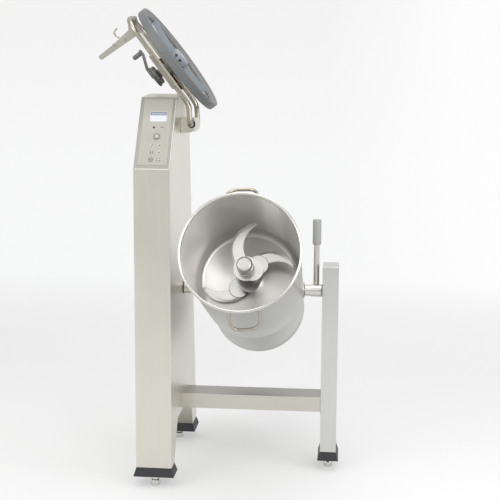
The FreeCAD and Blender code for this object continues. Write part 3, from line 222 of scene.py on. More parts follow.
def spun(name, colour, rough, darkest, edge=None, dull=0.0):
    """Bowl metal, ground on a lathe: fine rings, and broad light and dark fans painted into its colour as
    painted reflections of such rings.

    It goes down to 'darkest' times the colour. Heights above 'edge' have the paler polish of the rim, and
    the inside is less metallic by 'dull', and less again along the painted bright streak.
    """
    finish = Finish(name)
    point = finish.place(BOWL)
    x, y, z = finish.split(point)
    reach = (x * x + y * y + 0.000001) ** 0.5
    lines = finish.node("ShaderNodeCombineXYZ", {}, {0: reach * 900, 1: z * 900, 2: x * 6})
    rings = finish.noise(lines, 1.0, 3.0, 0.5)
    clouds = finish.noise(point, 3.0, 2.0, 0.5)

    def painted_fan(angle, narrow):
        """One painted reflection, falling to nothing on both sides of its angle."""
        turn = math.radians(angle)
        facing = (x * math.cos(turn) + y * math.sin(turn)) / reach
        return facing.maths("MAXIMUM", facing, 0.0) ** narrow

    def painted_fans_tone(even, fans):
        """The painted tone of a surface that is this light without its painted fans."""
        return sum((painted_fan(angle, narrow) * strong for angle, narrow, strong in fans), even)

    wall, floor, outer = painted_fans_tone(0.42, WALL_PAINTED_FANS), painted_fans_tone(0.45, FLOOR_PAINTED_FANS), painted_fans_tone(0.08, OUTER_PAINTED_FANS)
    high = z > WALL_FOOT
    within = (z * 0.0175 + 0.19432) > reach
    tone = outer * (1.0 - within) + (wall * high + floor * (1.0 - high)) * within
    tone = (tone + clouds * 0.14 + rings * 0.12 - 0.13).clamped()
    shade = finish.mix(tone, tinted(colour, darkest), colour)
    gloss = rings * 0.08 + (rough - 0.04)
    if edge:
        rim = z > edge
        shade = finish.mix(rim, shade, RIM_POLISH)
        gloss = gloss - rim * 0.05
    # The painted bright streak is also made less metallic, so that it looks brighter
    metal = 1.0 - within * (painted_fan(*PAINTED_BRIGHT_STREAK) * high * 0.40 + dull)
    return finish.surface(base_color=shade, metallic=metal.clamped(), roughness=gloss.clamped(),
                          normal=finish.bump(rings, 0.000004, 0.4))


def plastic(name, colour, rough=0.42, grain=900.0, depth=0.00003, shadow=None):
    """Moulded plastic or rubber with a fine grain and slightly uneven gloss.

    'shadow' is the two heights between which it grows darker.
    """
    finish = Finish(name)
    point = finish.place()
    fine, wide = finish.noise(point, grain, 2.0, 0.6), finish.noise(point, 14.0, 3.0, 0.5)
    shade = finish.mix(wide, tinted(colour, 0.90), colour)
    if shadow:
        low, high = shadow
        height = ((finish.split(point)[2] - low) / (high - low)).clamped()
        shade = finish.mix(height, shade, tinted(colour, 0.28))
    gloss = wide * 0.12 + fine * 0.10 + (rough - 0.11)
    return finish.surface(base_color=shade, roughness=gloss.clamped(), normal=finish.bump(fine, depth, 0.4))


# The column's leaning front and its rear leg's front get painted shade
column_sheet = brushed("column_sheet", rgb(0.80, 0.78, 0.70), (260, 260, 3), rough=0.36,
                       painted_slope_shade=(1.30, 1.60, 0.20))
# The beam's top faces get a painted shade
beam_tube = brushed("beam_tube", rgb(0.67, 0.65, 0.59), (3, 260, 260), depth=0.000006, painted_top_shade=0.58)
leg_tube = brushed("leg_tube", rgb(0.74, 0.735, 0.71), (260, 260, 3), rough=0.34)
hinge_metal = brushed("hinge_metal", rgb(0.72, 0.70, 0.64), (120, 500, 500), rough=0.34)
bright_steel = brushed("bright_steel", rgb(0.78, 0.77, 0.74), (200, 200, 200), rough=0.16)
# The bowl and the housing carry painted reflections in their colour
bowl_sheet = spun("bowl_sheet", rgb(0.95, 0.94, 0.905), 0.31, 0.50, edge=0.5135, dull=0.42)
housing_sheet = spun("housing_sheet", rgb(0.54, 0.535, 0.51), 0.32, 0.66)
blade_steel = brushed("blade_steel", rgb(0.68, 0.675, 0.65), (12, 12, 60), BOWL, rough=0.28, depth=0.000004)
bar_steel = brushed("bar_steel", rgb(0.76, 0.74, 0.69), (30, 30, 30), rough=0.33, depth=0.000005)
# Pale strips painted as the highlight along the fascia's fold and its right edge
fold_highlight_paint = brushed("fold_highlight_paint", rgb(0.95, 0.94, 0.91), (20, 20, 20), rough=0.50, depth=0.000002)
arm_steel = brushed("arm_steel", rgb(0.49, 0.455, 0.395), (14, 14, 14), rough=0.29, depth=0.000002)
ring_grey = plastic("ring_grey", rgb(0.145, 0.152, 0.155), 0.44)
wiper_grey = plastic("wiper_grey", rgb(0.26, 0.29, 0.33), 0.45)
weld_steel = plastic("weld_steel", rgb(0.52, 0.50, 0.45), 0.40, grain=300.0)
faint_ink = plastic("faint_ink", rgb(0.40, 0.39, 0.36), 0.40)
bezel_grey = plastic("bezel_grey", rgb(0.46, 0.46, 0.45), 0.30)
knob_steel = brushed("knob_steel", rgb(0.64, 0.63, 0.60), (20, 20, 60), BOWL, rough=0.34, depth=0.000002)
latch_metal = brushed("latch_metal", rgb(0.45, 0.435, 0.39), (500, 500, 120), rough=0.38)
hub_grey = plastic("hub_grey", rgb(0.15, 0.148, 0.145), 0.42)
black_rubber = plastic("black_rubber", rgb(0.030, 0.030, 0.036), 0.55, grain=600.0)
gasket_rubber = plastic("gasket_rubber", rgb(0.10, 0.10, 0.10), 0.50)
rib_grey = plastic("rib_grey", rgb(0.19, 0.19, 0.19), 0.45)
bearing_black = plastic("bearing_black", rgb(0.02, 0.02, 0.022), 0.40)
grip_grey = plastic("grip_grey", rgb(0.36, 0.365, 0.35), 0.50)
keypad_film = plastic("keypad_film", rgb(0.41, 0.395, 0.35), 0.52, grain=2400.0, depth=0.00001,
                      shadow=(1.36, 1.62))
key_film = plastic("key_film", rgb(0.46, 0.445, 0.395), 0.50, grain=2400.0, depth=0.00001)
mark_ink = plastic("mark_ink", rgb(0.025, 0.025, 0.025), 0.50)
screen_pale = plastic("screen_pale", rgb(0.66, 0.68, 0.73), 0.26)
screen_blue = plastic("screen_blue", rgb(0.20, 0.23, 0.30), 0.26)
spacer_black = plastic("spacer_black", rgb(0.045, 0.045, 0.048), 0.35)
board_lacquer = plastic("board_lacquer", rgb(0.03, 0.16, 0.08), 0.35)
cast_paint = plastic("cast_paint", rgb(0.16, 0.17, 0.18), 0.5)


def clear_pane():
    """Clear polycarbonate: mostly see-through, with a gloss that grows towards the edge of sight."""
    finish = Finish("clear_pane")
    wide = finish.noise(finish.place(LID), 9.0, 2.0, 0.5)
    return finish.surface(base_color=rgb(0.93, 0.95, 0.955), roughness=wide * 0.05 + 0.04,
                          alpha=wide * 0.03 + 0.05, ior=1.49)


pane_clear = clear_pane()


def wear(finish, *names):
    """Puts a finish on the model's own nodes, which show wherever no piece stands for them."""
    for name in names:
        slots = NODES[name].data.materials
        for i in range(len(slots)):
            slots[i] = finish
        if not slots:
            slots.append(finish)


# Making pieces

SHARP_EDGE = math.radians(25)


def mm(*point):
    return Vector(point) * 0.001


def machine(x, y, z):
    """A place measured in millimetres from the column's left face, its front face and the floor."""
    return mm(x, y, z) + Vector((FOLD.x, FOLD.y, 0))


def add_piece(name, build, body, finish, slot, *stands_for, smooth=35):
    """Turns a bmesh into a piece that rides on a body, and stands for nodes where it is named so."""
    bmesh.ops.remove_doubles(build, verts=build.verts, dist=1e-6)
    bmesh.ops.recalc_face_normals(build, faces=build.faces)
    mesh = bpy.data.meshes.new(name)
    build.to_mesh(mesh)
    build.free()
    mesh.materials.append(finish)
    for face in mesh.polygons:
        face.use_smooth = True
    mesh.set_sharp_from_angle(angle=math.radians(smooth))
    item = bpy.data.objects.new(name, mesh)
    bpy.context.collection.objects.link(item)
    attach(item, body)
    if stands_for:
        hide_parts(*stands_for)
    return item


def softened(corners, radii, steps=5):
    """A closed outline with its corners rounded; one radius for all of them or one each."""
    count = len(corners)
    if not isinstance(radii, (list, tuple)):
        radii = [radii] * count
    path = []
    for i, (corner, radius) in enumerate(zip(corners, radii)):
        here = Vector(corner)
        if radius == 0:
            path.append(tuple(here))
            continue
        before, after = Vector(corners[i - 1]) - here, Vector(corners[(i + 1) % count]) - here
        reach = min(radius, 0.49 * before.length, 0.49 * after.length)
        start, end = here + before.normalized() * reach, here + after.normalized() * reach
        for k in range(steps + 1):
            t = k / steps
            path.append(tuple(start * (1 - t) ** 2 + here * 2 * t * (1 - t) + end * t * t))
    return path


def skin(build, rows, closed=True, bare=()):
    """Faces between neighbouring loops of corners, but for the 'bare' sides.

    'closed' joins the last loop to the first.
    """
    for here, there in zip(rows, rows[1:] + (rows[:1] if closed else [])):
        for k in range(len(here)):
            after = (k + 1) % len(here)
            if k not in bare:
                build.faces.new([here[k], here[after], there[after], there[k]])


def turn_up(build, profile, place, parts=128, ribs=0, rib=0.0):
    """A closed profile of (radius, height) in millimetres, turned about the place's own z.

    It can have ribs round it, each as deep as 'rib' says. Sides on the axis itself get no faces.
    """
    rings = []
    for i in range(parts):
        angle = math.tau * i / parts
        wave = rib * math.sin(angle * ribs)
        rings.append([build.verts.new(place @ mm((radius - wave) * math.cos(angle),
                                                 (radius - wave) * math.sin(angle), height))
                      for radius, height in profile])
    radii = [radius for radius, _ in profile]
    sides = enumerate(zip(radii, radii[1:] + radii[:1]))
    skin(build, rings, bare={k for k, ends in sides if max(ends) < 1e-6})


def turned(name, profile, place, body, finish, slot, *stands_for, parts=128, ribs=0, rib=0.0, smooth=35):
    build = bmesh.new()
    turn_up(build, profile, place, parts, ribs, rib)
    add_piece(name, build, body, finish, slot, *stands_for, smooth=smooth)


def slab(build, outline, low, high, place, edge=0.0):
    """A flat plate in millimetres between two heights of the place, its rims bevelled."""
    bottom = [build.verts.new(place @ mm(x, y, low)) for x, y in outline]
    top = [build.verts.new(place @ mm(x, y, high)) for x, y in outline]
    faces = [build.faces.new(top), build.faces.new(list(reversed(bottom)))]
    count = len(outline)
    for i in range(count):
        k = (i + 1) % count
        build.faces.new([bottom[i], bottom[k], top[k], top[i]])
    if edge:
        rims = {e for face in faces for e in face.edges}
        bmesh.ops.bevel(build, geom=list(rims), offset=edge * 0.001, segments=2, affect="EDGES")


def disc_outline(x, y, radius, parts):
    return [(x + radius * math.cos(math.tau * i / parts), y + radius * math.sin(math.tau * i / parts))
            for i in range(parts)]


def edged(name, body, finish, slot, radius, segments=3):
    """A node's own form with its sharp edges rounded, as pressed sheet, tube or moulding has them."""
    build = bmesh.new()
    build.from_mesh(NODES[name].data)
    bmesh.ops.remove_doubles(build, verts=build.verts, dist=2e-6)
    bmesh.ops.dissolve_limit(build, angle_limit=math.radians(1.0), verts=build.verts, edges=build.edges)
    sharp = [e for e in build.edges if len(e.link_faces) == 2 and e.calc_face_angle(0) > SHARP_EDGE]
    bmesh.ops.bevel(build, geom=sharp, offset=radius * 0.001, segments=segments, profile=0.5,
                    affect="EDGES", clamp_overlap=True)
    item = add_piece(name + "_form", build, body, finish, slot, name, smooth=50)
    even = item.modifiers.new("even_faces", "WEIGHTED_NORMAL")
    even.keep_sharp = True


def bolt(build, place, radius, height):
    """A round head with a soft edge and a round socket, its foot on the place."""
    profile = softened([(0, 0), (radius, 0), (radius, height), (0.55 * radius, height),
                        (0.5 * radius, 0.45 * height), (0, 0.45 * height)],
                       [0, 0, 0.45 * height, 0.1, 0.1, 0], 4)
    turn_up(build, profile, place, 24)


def bead(build, path, radius):
    """A weld bead: a low rippled cord of metal along a path."""
    sides, between = 8, 5
    fine = []
    for start, end in zip(path, path[1:]):
        fine += [start.lerp(end, k / between) for k in range(between)]
    fine.append(path[-1])
    rows = []
    for i, point in enumerate(fine):
        ahead = (fine[min(i + 1, len(fine) - 1)] - fine[max(i - 1, 0)]).normalized()
        side = ahead.orthogonal().normalized()
        over = ahead.cross(side)
        swell = radius * 0.001 * (1 + 0.13 * math.sin(2.4 * i)) * (0.55 if i in (0, len(fine) - 1) else 1)
        rows.append([build.verts.new(point + swell * (side * math.cos(math.tau * k / sides)
                                                      + over * math.sin(math.tau * k / sides)))
                     for k in range(sides)])
    skin(build, rows, closed=False)
    build.faces.new(list(reversed(rows[0])))
    build.faces.new(rows[-1])


wear(column_sheet, "column_shell", "rear_cover")
wear(beam_tube, "cross_beam")
wear(leg_tube, "right_leg", "right_leg_cap")
wear(bowl_sheet, "bowl")
wear(housing_sheet, "motor_housing", "motor_cover")
wear(blade_steel, "lower_blade", "middle_blade", "upper_blade", "blade_hub")
wear(arm_steel, "bowl_handles", "lid_arm", "latch_hook")
wear(bar_steel, "tilt_lever", "trunnions", "wiper_axle")
wear(hinge_metal, "hinge_block", "saddle_plate", "latch_lever", "crank_arm")
wear(bright_steel, "levelling_feet", "cover_screws", "motor_shaft", "motor_bearings", "blade_knob")
wear(spacer_black, "blade_spacers")
wear(hub_grey, "crank_hub", "crank_grip", "lid_bush", "lid_nuts")
wear(ring_grey, "lid_ring")
wear(wiper_grey, "wiper")
wear(gasket_rubber, "lid_gasket")
wear(pane_clear, "lid_pane")
wear(black_rubber, "leg_pads", "shaft_seal", "cable_gland", "brake_lining")
wear(bearing_black, "trunnion_bearings", "hinge_bushes")
wear(grip_grey, "lever_grip")
wear(keypad_film, "keypad_membrane")
wear(key_film, "mixing_key", "program_key", "pulse_key", "timer_key", "slower_key", "faster_key",
     "stop_button")
wear(screen_pale, "display_window")
wear(board_lacquer, "control_board")
wear(cast_paint, "motor_casing", "motor_flange", "stator", "rotor_core", "bearing_blocks", "motor_drive",
     "brake_disc")


# Frame: column, leg, beam and feet

FOOT_PLACES = ((66.5, 31.0), (66.5, 532.0), (708.0, 278.0))
BEAM_ENDS = (133.4, 676.6)


def foot(build, place):
    """A round pad, its hexagon and the threaded stem."""
    turn_up(build, softened([(0, 0), (17.5, 0), (18, 4), (18, 18), (15, 23), (0, 23)],
                            [0, 2, 2, 3, 2, 0]), place, 48)
    turn_up(build, [(0, 23), (14.4, 23), (15.6, 24.5), (15.6, 33), (14.4, 34.5), (0, 34.5)], place, 6)
    thread = [(0, 26)]
    for k in range(11):
        thread += [(7.2, 26 + 1.5 * k), (8.4, 26.75 + 1.5 * k)]
    turn_up(build, thread + [(7.2, 42.9), (0, 42.9)], place, 32)


def frame_forms():
    edged("column_shell", "frame", column_sheet, "column_steel", 2.2)
    edged("rear_cover", "frame", column_sheet, "column_steel", 0.8)
    edged("cross_beam", "frame", beam_tube, "stand_steel", 2.5)
    edged("right_leg", "frame", leg_tube, "stand_steel", 2.5)
    edged("right_leg_cap", "frame", leg_tube, "stand_steel", 2.0)
    edged("leg_pads", "frame", black_rubber, "black_rubber", 2.0)
    edged("hinge_block", "frame", hinge_metal, "hinge_metal", 3.0, 4)
    build = bmesh.new()
    for x, y in FOOT_PLACES:
        foot(build, Matrix.Translation(machine(x, y, 0)))
    add_piece("threaded_feet", build, "frame", bright_steel, "bright_steel", "levelling_feet")
    build = bmesh.new()
    for y in (-34.0, 34.0):
        for z in (-21.0, 15.0):
            place = Matrix.Translation(PIVOT + mm(-36.5, y, z)) @ Matrix.Rotation(QUARTER, 4, "Y")
            bolt(build, place @ Matrix.Rotation(math.pi, 4, "X"), 4.5, 3.0)
    add_piece("hinge_bolts", build, "frame", bright_steel, "bright_steel")
    build = bmesh.new()
    for x in BEAM_ENDS:
        for z in (235.0, 294.0):
            bead(build, [machine(x, y, z) for y in (227, 240, 253, 266, 279, 292, 305, 318, 329)], 2.2)
        for y in (226.0, 330.0):
            bead(build, [machine(x, y, z) for z in (236, 248, 260, 272, 284, 293)], 2.2)
    add_piece("beam_welds", build, "frame", weld_steel, "stand_steel")


# Control panel: keypad film with generic marks

MARK_THICK = 0.12
FILM_TOP, KEY_TOP, STOP_TOP, WINDOW_TOP = 0.5, 0.9, 4.0, 0.64


def mark(build, outline, out=FILM_TOP):
    """A printed mark: a thin plate whose foot is this far before the fascia."""
    slab(build, outline, out, out + MARK_THICK, FASCIA)


def ring_mark(build, x, z, outer, inner, out=FILM_TOP, parts=40):
    """A printed ring between two radii."""
    turn_up(build, [(inner, 0), (outer, 0), (outer, MARK_THICK), (inner, MARK_THICK)],
            FASCIA @ Matrix.Translation(mm(x, z, out)), parts)


def dot_mark(build, x, z, radius, parts, out=FILM_TOP):
    ring_mark(build, x, z, radius, 0.0, out, parts)


def bar_mark(build, x, z, width, height, turn=0.0, out=FILM_TOP):
    c, s = math.cos(turn), math.sin(turn)
    mark(build, [(x + c * u - s * v, z + s * u + c * v) for u, v in
                 ((-width / 2, -height / 2), (width / 2, -height / 2), (width / 2, height / 2),
                  (-width / 2, height / 2))], out)


def frame_mark(build, left, right, low, high, line, round_off):
    """A thin printed rectangle with rounded corners."""
    outer = softened([(left, low), (right, low), (right, high), (left, high)], round_off)
    inner = softened([(left + line, low + line), (right - line, low + line), (right - line, high - line),
                      (left + line, high - line)], max(round_off - line, 0.4))
    skin(build, [[build.verts.new(FASCIA @ mm(*corner, FILM_TOP + rise)) for corner, rise in
                  ((i, 0), (o, 0), (o, 0.1), (i, 0.1))] for i, o in zip(inner, outer)])


def printed(name, body, finish, slot, *marks):
    """A piece made of marks, each given as its function and what that takes."""
    build = bmesh.new()
    for draw, *sizes in marks:
        draw(build, *sizes)
    add_piece(name, build, body, finish, slot)


def key_mark(name, x, z, *marks):
    """The marks on top of a key: each has its function, its place from the key's middle and its sizes."""
    printed(name + "_mark", name, mark_ink, "display_dark",
            *((draw, x + across, z + up, *sizes, KEY_TOP) for draw, across, up, *sizes in marks))


def panel():
    printed("keypad_border", "frame", faint_ink, "keypad_film",
            (frame_mark, 15.5, 117.5, 20.5, 287.5, 0.5, 5.0))
    # Painted highlight: pale strips along the fascia's fold and down its right edge
    printed("fold_painted_highlight", "frame", fold_highlight_paint, "column_steel",
            (bar_mark, 66.5, 2.4, 127.0, 1.8, 0.0, 0.0), (bar_mark, 130.4, 146.0, 1.4, 282.0, 0.0, 0.0))
    printed("key_fields", "frame", faint_ink, "keypad_film",
            (frame_mark, 40.0, 106.0, 115.0, 153.0, 0.5, 3.0),
            (frame_mark, 34.0, 112.0, 26.0, 110.0, 0.4, 3.0))
    printed("count_marks", "frame", mark_ink, "display_dark",
            (dot_mark, 59.0, 171.5, 4.6, 28), (bar_mark, 89.0, 172.5, 13.0, 1.9))
    printed("stop_ring", "stop_button", mark_ink, "stop_red",
            (ring_mark, 73.0, 134.0, 10.8, 8.5, STOP_TOP, 56))
    blades = [math.tau * k / 3 + 0.5 for k in range(3)]
    key_mark("mixing_key", 59.5, 40.0, (ring_mark, 0, 0, 8.2, 6.6),
             *((bar_mark, 3.2 * math.cos(a), 3.2 * math.sin(a), 5.6, 2.1, a) for a in blades))
    key_mark("program_key", 87.0, 40.0,
             *((dot_mark, u, v, 2.0, 16) for v in (-4.0, 4.0) for u in (-4.7, 4.7)))
    key_mark("pulse_key", 59.5, 69.0, *((bar_mark, u, 0, 2.6, 11.0, 0.0) for u in (-3.6, 3.6)))
    key_mark("timer_key", 87.0, 69.0, (bar_mark, 0, 0, 7.0, 2.8, 0.0))
    key_mark("slower_key", 59.5, 98.0, (bar_mark, 0, 0, 10.5, 2.0, 1.1))
    key_mark("faster_key", 87.0, 98.0, (dot_mark, 0, 0, 2.8, 20))
    printed("display_header", "frame", screen_blue, "display_dark",
            (mark, softened([(42.0, 222.0), (102.0, 222.0), (102.0, 236.3), (42.0, 236.3)], 1.0, 3)))
    widths = enumerate((3.0, 5.0, 2.5, 4.5, 3.5, 5.5, 2.5, 4.0, 3.0))
    printed("display_segments", "frame", screen_pale, "display_dark",
            *((bar_mark, 48.0 + 6.0 * k, 228.0, width, 3.2, 0.0, WINDOW_TOP) for k, width in widths))
    printed("display_bezel", "frame", bezel_grey, "display_dark",
            (frame_mark, 40.0, 104.0, 195.0, 238.5, 1.6, 2.0))


# Bowl, housing and blades

def arc(middle, radius, start, end, steps):
    """Points on an arc between two angles in degrees."""
    angles = [math.radians(start + (end - start) * k / steps) for k in range(steps + 1)]
    return [(middle[0] + radius * math.cos(a), middle[1] + radius * math.sin(a)) for a in angles]


def bowl_form():
    """The double wall with its rolled rim, and the floor that rises to the shaft's collar."""
    profile = [(193.0, 9.2), (196.0, 9.2), (205.0, 512.0)]
    profile += arc((206.9, 521.9), 5.1, -70, 180, 18)
    profile += [(201.7, 515.0), (195.9, 176.0)]
    wall, knee, floor = Vector((195.6, 166.0)), Vector((193.6, 130.2)), Vector((168.0, 131.8))
    profile += [tuple(wall * (1 - t) ** 2 + knee * 2 * t * (1 - t) + floor * t * t)
                for t in [k / 12 for k in range(13)]]
    profile += [(60.0, 142.0), (44.0, 143.6), (40.0, 144.8), (37.6, 146.6), (36.0, 149.2), (35.0, 150.0),
                (22.0, 150.0), (22.0, 126.0), (33.0, 126.0), (33.0, 141.0), (193.0, 127.0)]
    turned("bowl_form", profile, BOWL, "bowl", bowl_sheet, "bowl_steel", "bowl", parts=224, smooth=50)


def housing_forms():
    """The motor's housing under the bowl, and the cover bolted to its end."""
    profile = [(150.0, -336.0)] + arc((160, -306), 30, -90, 0, 10)
    profile += [(190.0, 1.0), (190.6, 4.0), (192.5, 5.6), (195.2, 5.9), (196.0, 6.8), (196.0, 9.0),
                (186.0, 9.0), (186.0, -306.0), (160.0, -332.0), (150.0, -332.0)]
    turned("housing_form", profile, BOWL, "bowl", housing_sheet, "housing_steel", "motor_housing", parts=192)
    build = bmesh.new()
    turn_up(build, softened([(0, -336.2), (149.4, -336.2), (149.4, -331), (0, -331)], [0, 1.5, 0, 0]), BOWL)
    turn_up(build, softened([(30, -337.4), (36, -337.4), (36, -336), (30, -336)], 0.6), BOWL, 64)
    add_piece("cover_form", build, "bowl", housing_sheet, "housing_steel", "motor_cover")
    build = bmesh.new()
    for k in range(6):
        a = math.tau * k / 6 + 0.3
        place = BOWL @ Matrix.Translation(mm(138 * math.cos(a), 138 * math.sin(a), -336.2))
        bolt(build, place @ Matrix.Rotation(math.pi, 4, "X"), 5.0, 3.0)
    add_piece("cover_bolts", build, "bowl", bright_steel, "bright_steel")


def handle_forms():
    """Weld beads round the ends of both handles, and the flanges where the trunnions leave the bowl."""
    build = bmesh.new()
    for base in (math.radians(-90 + 5.7), math.radians(90 + 2.3)):
        for side in (-1, 1):
            angle = base + side * math.atan(52.0 / 198.5)
            out = Vector((math.cos(angle), math.sin(angle), 0))
            along = Vector((-math.sin(angle), math.cos(angle), 0))
            middle = out * 204.0 + Vector((0, 0, 482.0))
            path = [middle + (along * math.cos(a) * 6.8 + Vector((0, 0, 1)) * math.sin(a) * 7.4)
                    for a in [math.tau * k / 16 for k in range(17)]]
            bead(build, [BOWL @ (point * 0.001) for point in path], 1.9)
    add_piece("handle_welds", build, "bowl", weld_steel, "bowl_steel")
    for way, name in ((-1, "left_trunnion_flange"), (1, "right_trunnion_flange")):
        place = BOWL @ Matrix.Rotation(way * QUARTER, 4, "Y")
        turned(name, softened([(22.05, 178.0), (33.0, 178.0), (33.0, 197.5), (29.5, 200.5), (24.0, 203.0),
                               (22.05, 204.0)], [0, 0, 2, 1, 1, 0]), place, "bowl", bar_steel, "bright_steel",
               parts=64)


OUTER_ARC = Vector((79.0, -30.0)), 102.5
INNER_ARC = Vector((97.0, -60.0)), 88.0
BLADE_THICK, TOP_INNER, BOTTOM_INNER, EDGE_HIGH = 6.0, 4.9, 0.8, 1.3


def crescent_rows(count=44):
    """Pairs of points on the outer and the inner arc, from the blunt tip to the tail."""
    rows = []
    for i in range(count + 1):
        t = i / count
        a = math.radians(17.2 + (191.2 - 17.2) * t)
        b = math.radians(38.4 + (173.5 - 38.4) * t)
        outer = OUTER_ARC[0] + OUTER_ARC[1] * Vector((math.cos(a), math.sin(a)))
        inner = INNER_ARC[0] + INNER_ARC[1] * Vector((math.cos(b), math.sin(b)))
        rows.append((t, outer, inner))
    return rows


def crescent_loop(t, outer, inner):
    """One cut through the crescent: the ground face, broad near the tip, the flat, the back and below."""
    grind = 0.16 + 0.62 * max(0.0, 1 - t / 0.42) ** 1.3
    loop = []
    for s in (0.0, 0.5 * grind, grind, grind + 0.015, grind + (0.97 - grind) * 0.5, 0.97):
        loop.append((outer.lerp(inner, s), EDGE_HIGH + (BLADE_THICK - EDGE_HIGH) * min(1.0, s / grind)))
    return loop + [(inner, TOP_INNER), (inner, BOTTOM_INNER), (outer.lerp(inner, 0.985), 0),
                   (outer.lerp(inner, 0.01), 0)]


def blade_form(name, up, turn, raised):
    """A crescent with a ground outer edge on a round root, which has raised rings and black rings round them
    as painted shade.
    """
    place = BOWL @ Matrix.Translation(mm(0, 0, up)) @ Matrix.Rotation(math.radians(turn), 4, "Z")
    build = bmesh.new()
    loops = [[build.verts.new(place @ mm(*point, height)) for point, height in crescent_loop(*row)]
             for row in crescent_rows()]
    skin(build, loops, closed=False)
    build.faces.new(loops[0])
    build.faces.new(list(reversed(loops[-1])))
    slab(build, disc_outline(0, 0, 45.0, 72), 0.1, 6.2, place, 0.7)
    slab(build, disc_outline(0, -24.0, 40.0, 64), 0.15, 6.08, place, 0.7)
    if raised:
        slab(build, disc_outline(44.0, 28.0, 36.6, 64), 5.0, 9.9, place, 2.4)
        slab(build, disc_outline(0, 0, 44.6, 72), 5.0, 9.95, place, 2.4)
        slab(build, [(8, 34), (20, 4), (56, -4), (70, 30), (40, 62), (18, 52)], 5.0, 9.85, place, 1.0)
    add_piece(name + "_form", build, "rotor", blade_steel, "blade_steel", name, smooth=24)
    if raised:
        # Black rings at the foot of the raised rings, as painted shade round them
        build = bmesh.new()
        slab(build, disc_outline(44.0, 28.0, 38.4, 64), 6.0, 6.5, place)
        slab(build, disc_outline(0, 0, 46.2, 72), 5.9, 6.6, place)
        add_piece(name + "_painted_shade_ring", build, "rotor", spacer_black, "black_plastic")


def rotor_forms():
    blade_form("lower_blade", 156.0, 193.5, True)
    blade_form("middle_blade", 205.0, 14.5, True)
    blade_form("upper_blade", 298.0, 80.0, False)
    turned("knob_form", softened([(0, 328), (25.5, 328), (25.5, 331.5), (29, 333), (29, 360), (23.5, 367),
                                  (0, 367)], [0, 1, 1, 1.5, 5, 5, 0], 6),
           BOWL, "rotor", knob_steel, "bright_steel", "blade_knob", parts=96)
    turned("knob_collar", softened([(17.6, 304.2), (30, 304.2), (30, 310), (26, 313), (25.4, 328.2),
                                    (17.6, 328.2)], [0, 1, 1.5, 2, 1, 0]),
           BOWL, "rotor", knob_steel, "bright_steel", parts=96)
    build = bmesh.new()
    for low, high in ((150.6, 156.0), (166.1, 205.0), (215.1, 298.0)):
        profile = [(24.1, low), (41.5, low)]
        if high - low > 20:
            for z in [low + (high - low) * k / 4 for k in (1, 2, 3)]:
                profile += [(41.5, z - 1.6), (39.6, z - 0.8), (39.6, z + 0.8), (41.5, z + 1.6)]
        turn_up(build, profile + [(41.5, high), (24.1, high)], BOWL, 96)
    add_piece("spacer_form", build, "rotor", spacer_black, "black_plastic", "blade_spacers")


# Lid, wiper, crank and latch

RING_RIBS = {"parts": 600, "ribs": 110, "rib": 0.9, "smooth": 60}


def lid_forms():
    turned("ring_form", softened([(214, -112.6), (216, -113.6), (225, -113.6), (225, -81), (211, -82),
                                  (197, -91.6), (197, -92.9), (200, -92.9), (200, -96.5), (197, -96.5),
                                  (197, -99.0), (214, -104.7)],
                                 [1, 1, 10, 15, 6, 1, 0, 0, 0, 0, 0.5, 0], 8),
           LID_AXIS, "lid", ring_grey, "lid_plastic", "lid_ring", parts=224)
    turned("gasket_form", [(197.2, -97.2), (194.6, -97.6), (195.6, -101.0), (204.0, -107.5), (212.0, -111.4),
                           (213.4, -111.2), (213.6, -105.2), (206.0, -103.0), (197.4, -99.6)],
           LID_AXIS, "lid", rib_grey, "gasket_rubber", "lid_gasket", **RING_RIBS)
    turned("ring_ribs", [(212.5, -110.8), (212.5, -112.6), (213.6, -113.6), (218.6, -114.3), (218.6, -113.0),
                         (214.6, -112.6), (214.6, -110.8)],
           LID_AXIS, "lid", rib_grey, "gasket_rubber", **RING_RIBS)
    turned("pane_form", softened([(12.2, -74.7), (34, -74.7), (190, -96.4), (199.8, -96.6), (199.8, -92.9),
                                  (190, -92.5), (34, -70.7), (12.2, -70.7)], [0, 12, 8, 0, 0, 8, 12, 0], 6),
           LID_AXIS, "lid", pane_clear, "clear_plastic", "lid_pane", parts=160)
    edged("saddle_plate", "lid", arm_steel, "hinge_metal", 1.2)
    edged("lid_bush", "lid", hub_grey, "black_plastic", 0.8)
    edged("lid_nuts", "lid", hub_grey, "black_plastic", 0.8)


def saddle_forms():
    """Bolts and grip ribs on the saddle plate, and the plugs in the ends of the lid arm's hinge tube."""
    build = bmesh.new()
    for x in (158.0, 274.0):
        for y in (-91.0, 91.0):
            bolt(build, LID @ Matrix.Translation(mm(x, y, -26)), 5.0, 3.0)
    add_piece("saddle_bolts", build, "lid", bright_steel, "bright_steel")
    build = bmesh.new()
    for x in [147.0 + 5.5 * k for k in range(26)]:
        for way in (-1, 1):
            slab(build, [(x - 1.5, way * 104.6), (x + 1.5, way * 104.6), (x + 1.5, way * 107.2),
                         (x - 1.5, way * 107.2)], -43.4, -26.6, LID, 0.8)
    add_piece("saddle_ribs", build, "lid", arm_steel, "hinge_metal")
    build = bmesh.new()
    for way in (-1, 1):
        place = Matrix.Translation(PIVOT + mm(0, way * 42.0, 0)) @ Matrix.Rotation(-way * QUARTER, 4, "X")
        turn_up(build, softened([(0, 0), (8.8, 0), (8.8, 1.2), (0, 1.2)], [0, 0.5, 0.5, 0]), place, 40)
    add_piece("arm_plugs", build, "lid", bearing_black, "black_plastic")


def crank_forms():
    turned("crank_hub_form", softened([(10.1, -4), (35, -4), (38, -1), (38, 11.5), (42, 12.5), (42, 18),
                                       (10.1, 18)], [0, 1.5, 1.5, 1, 1.2, 1.2, 0], 4),
           LID_AXIS, "wiper", hub_grey, "black_plastic", "crank_hub", parts=96)
    edged("crank_arm", "wiper", hub_grey, "hinge_metal", 1.2)


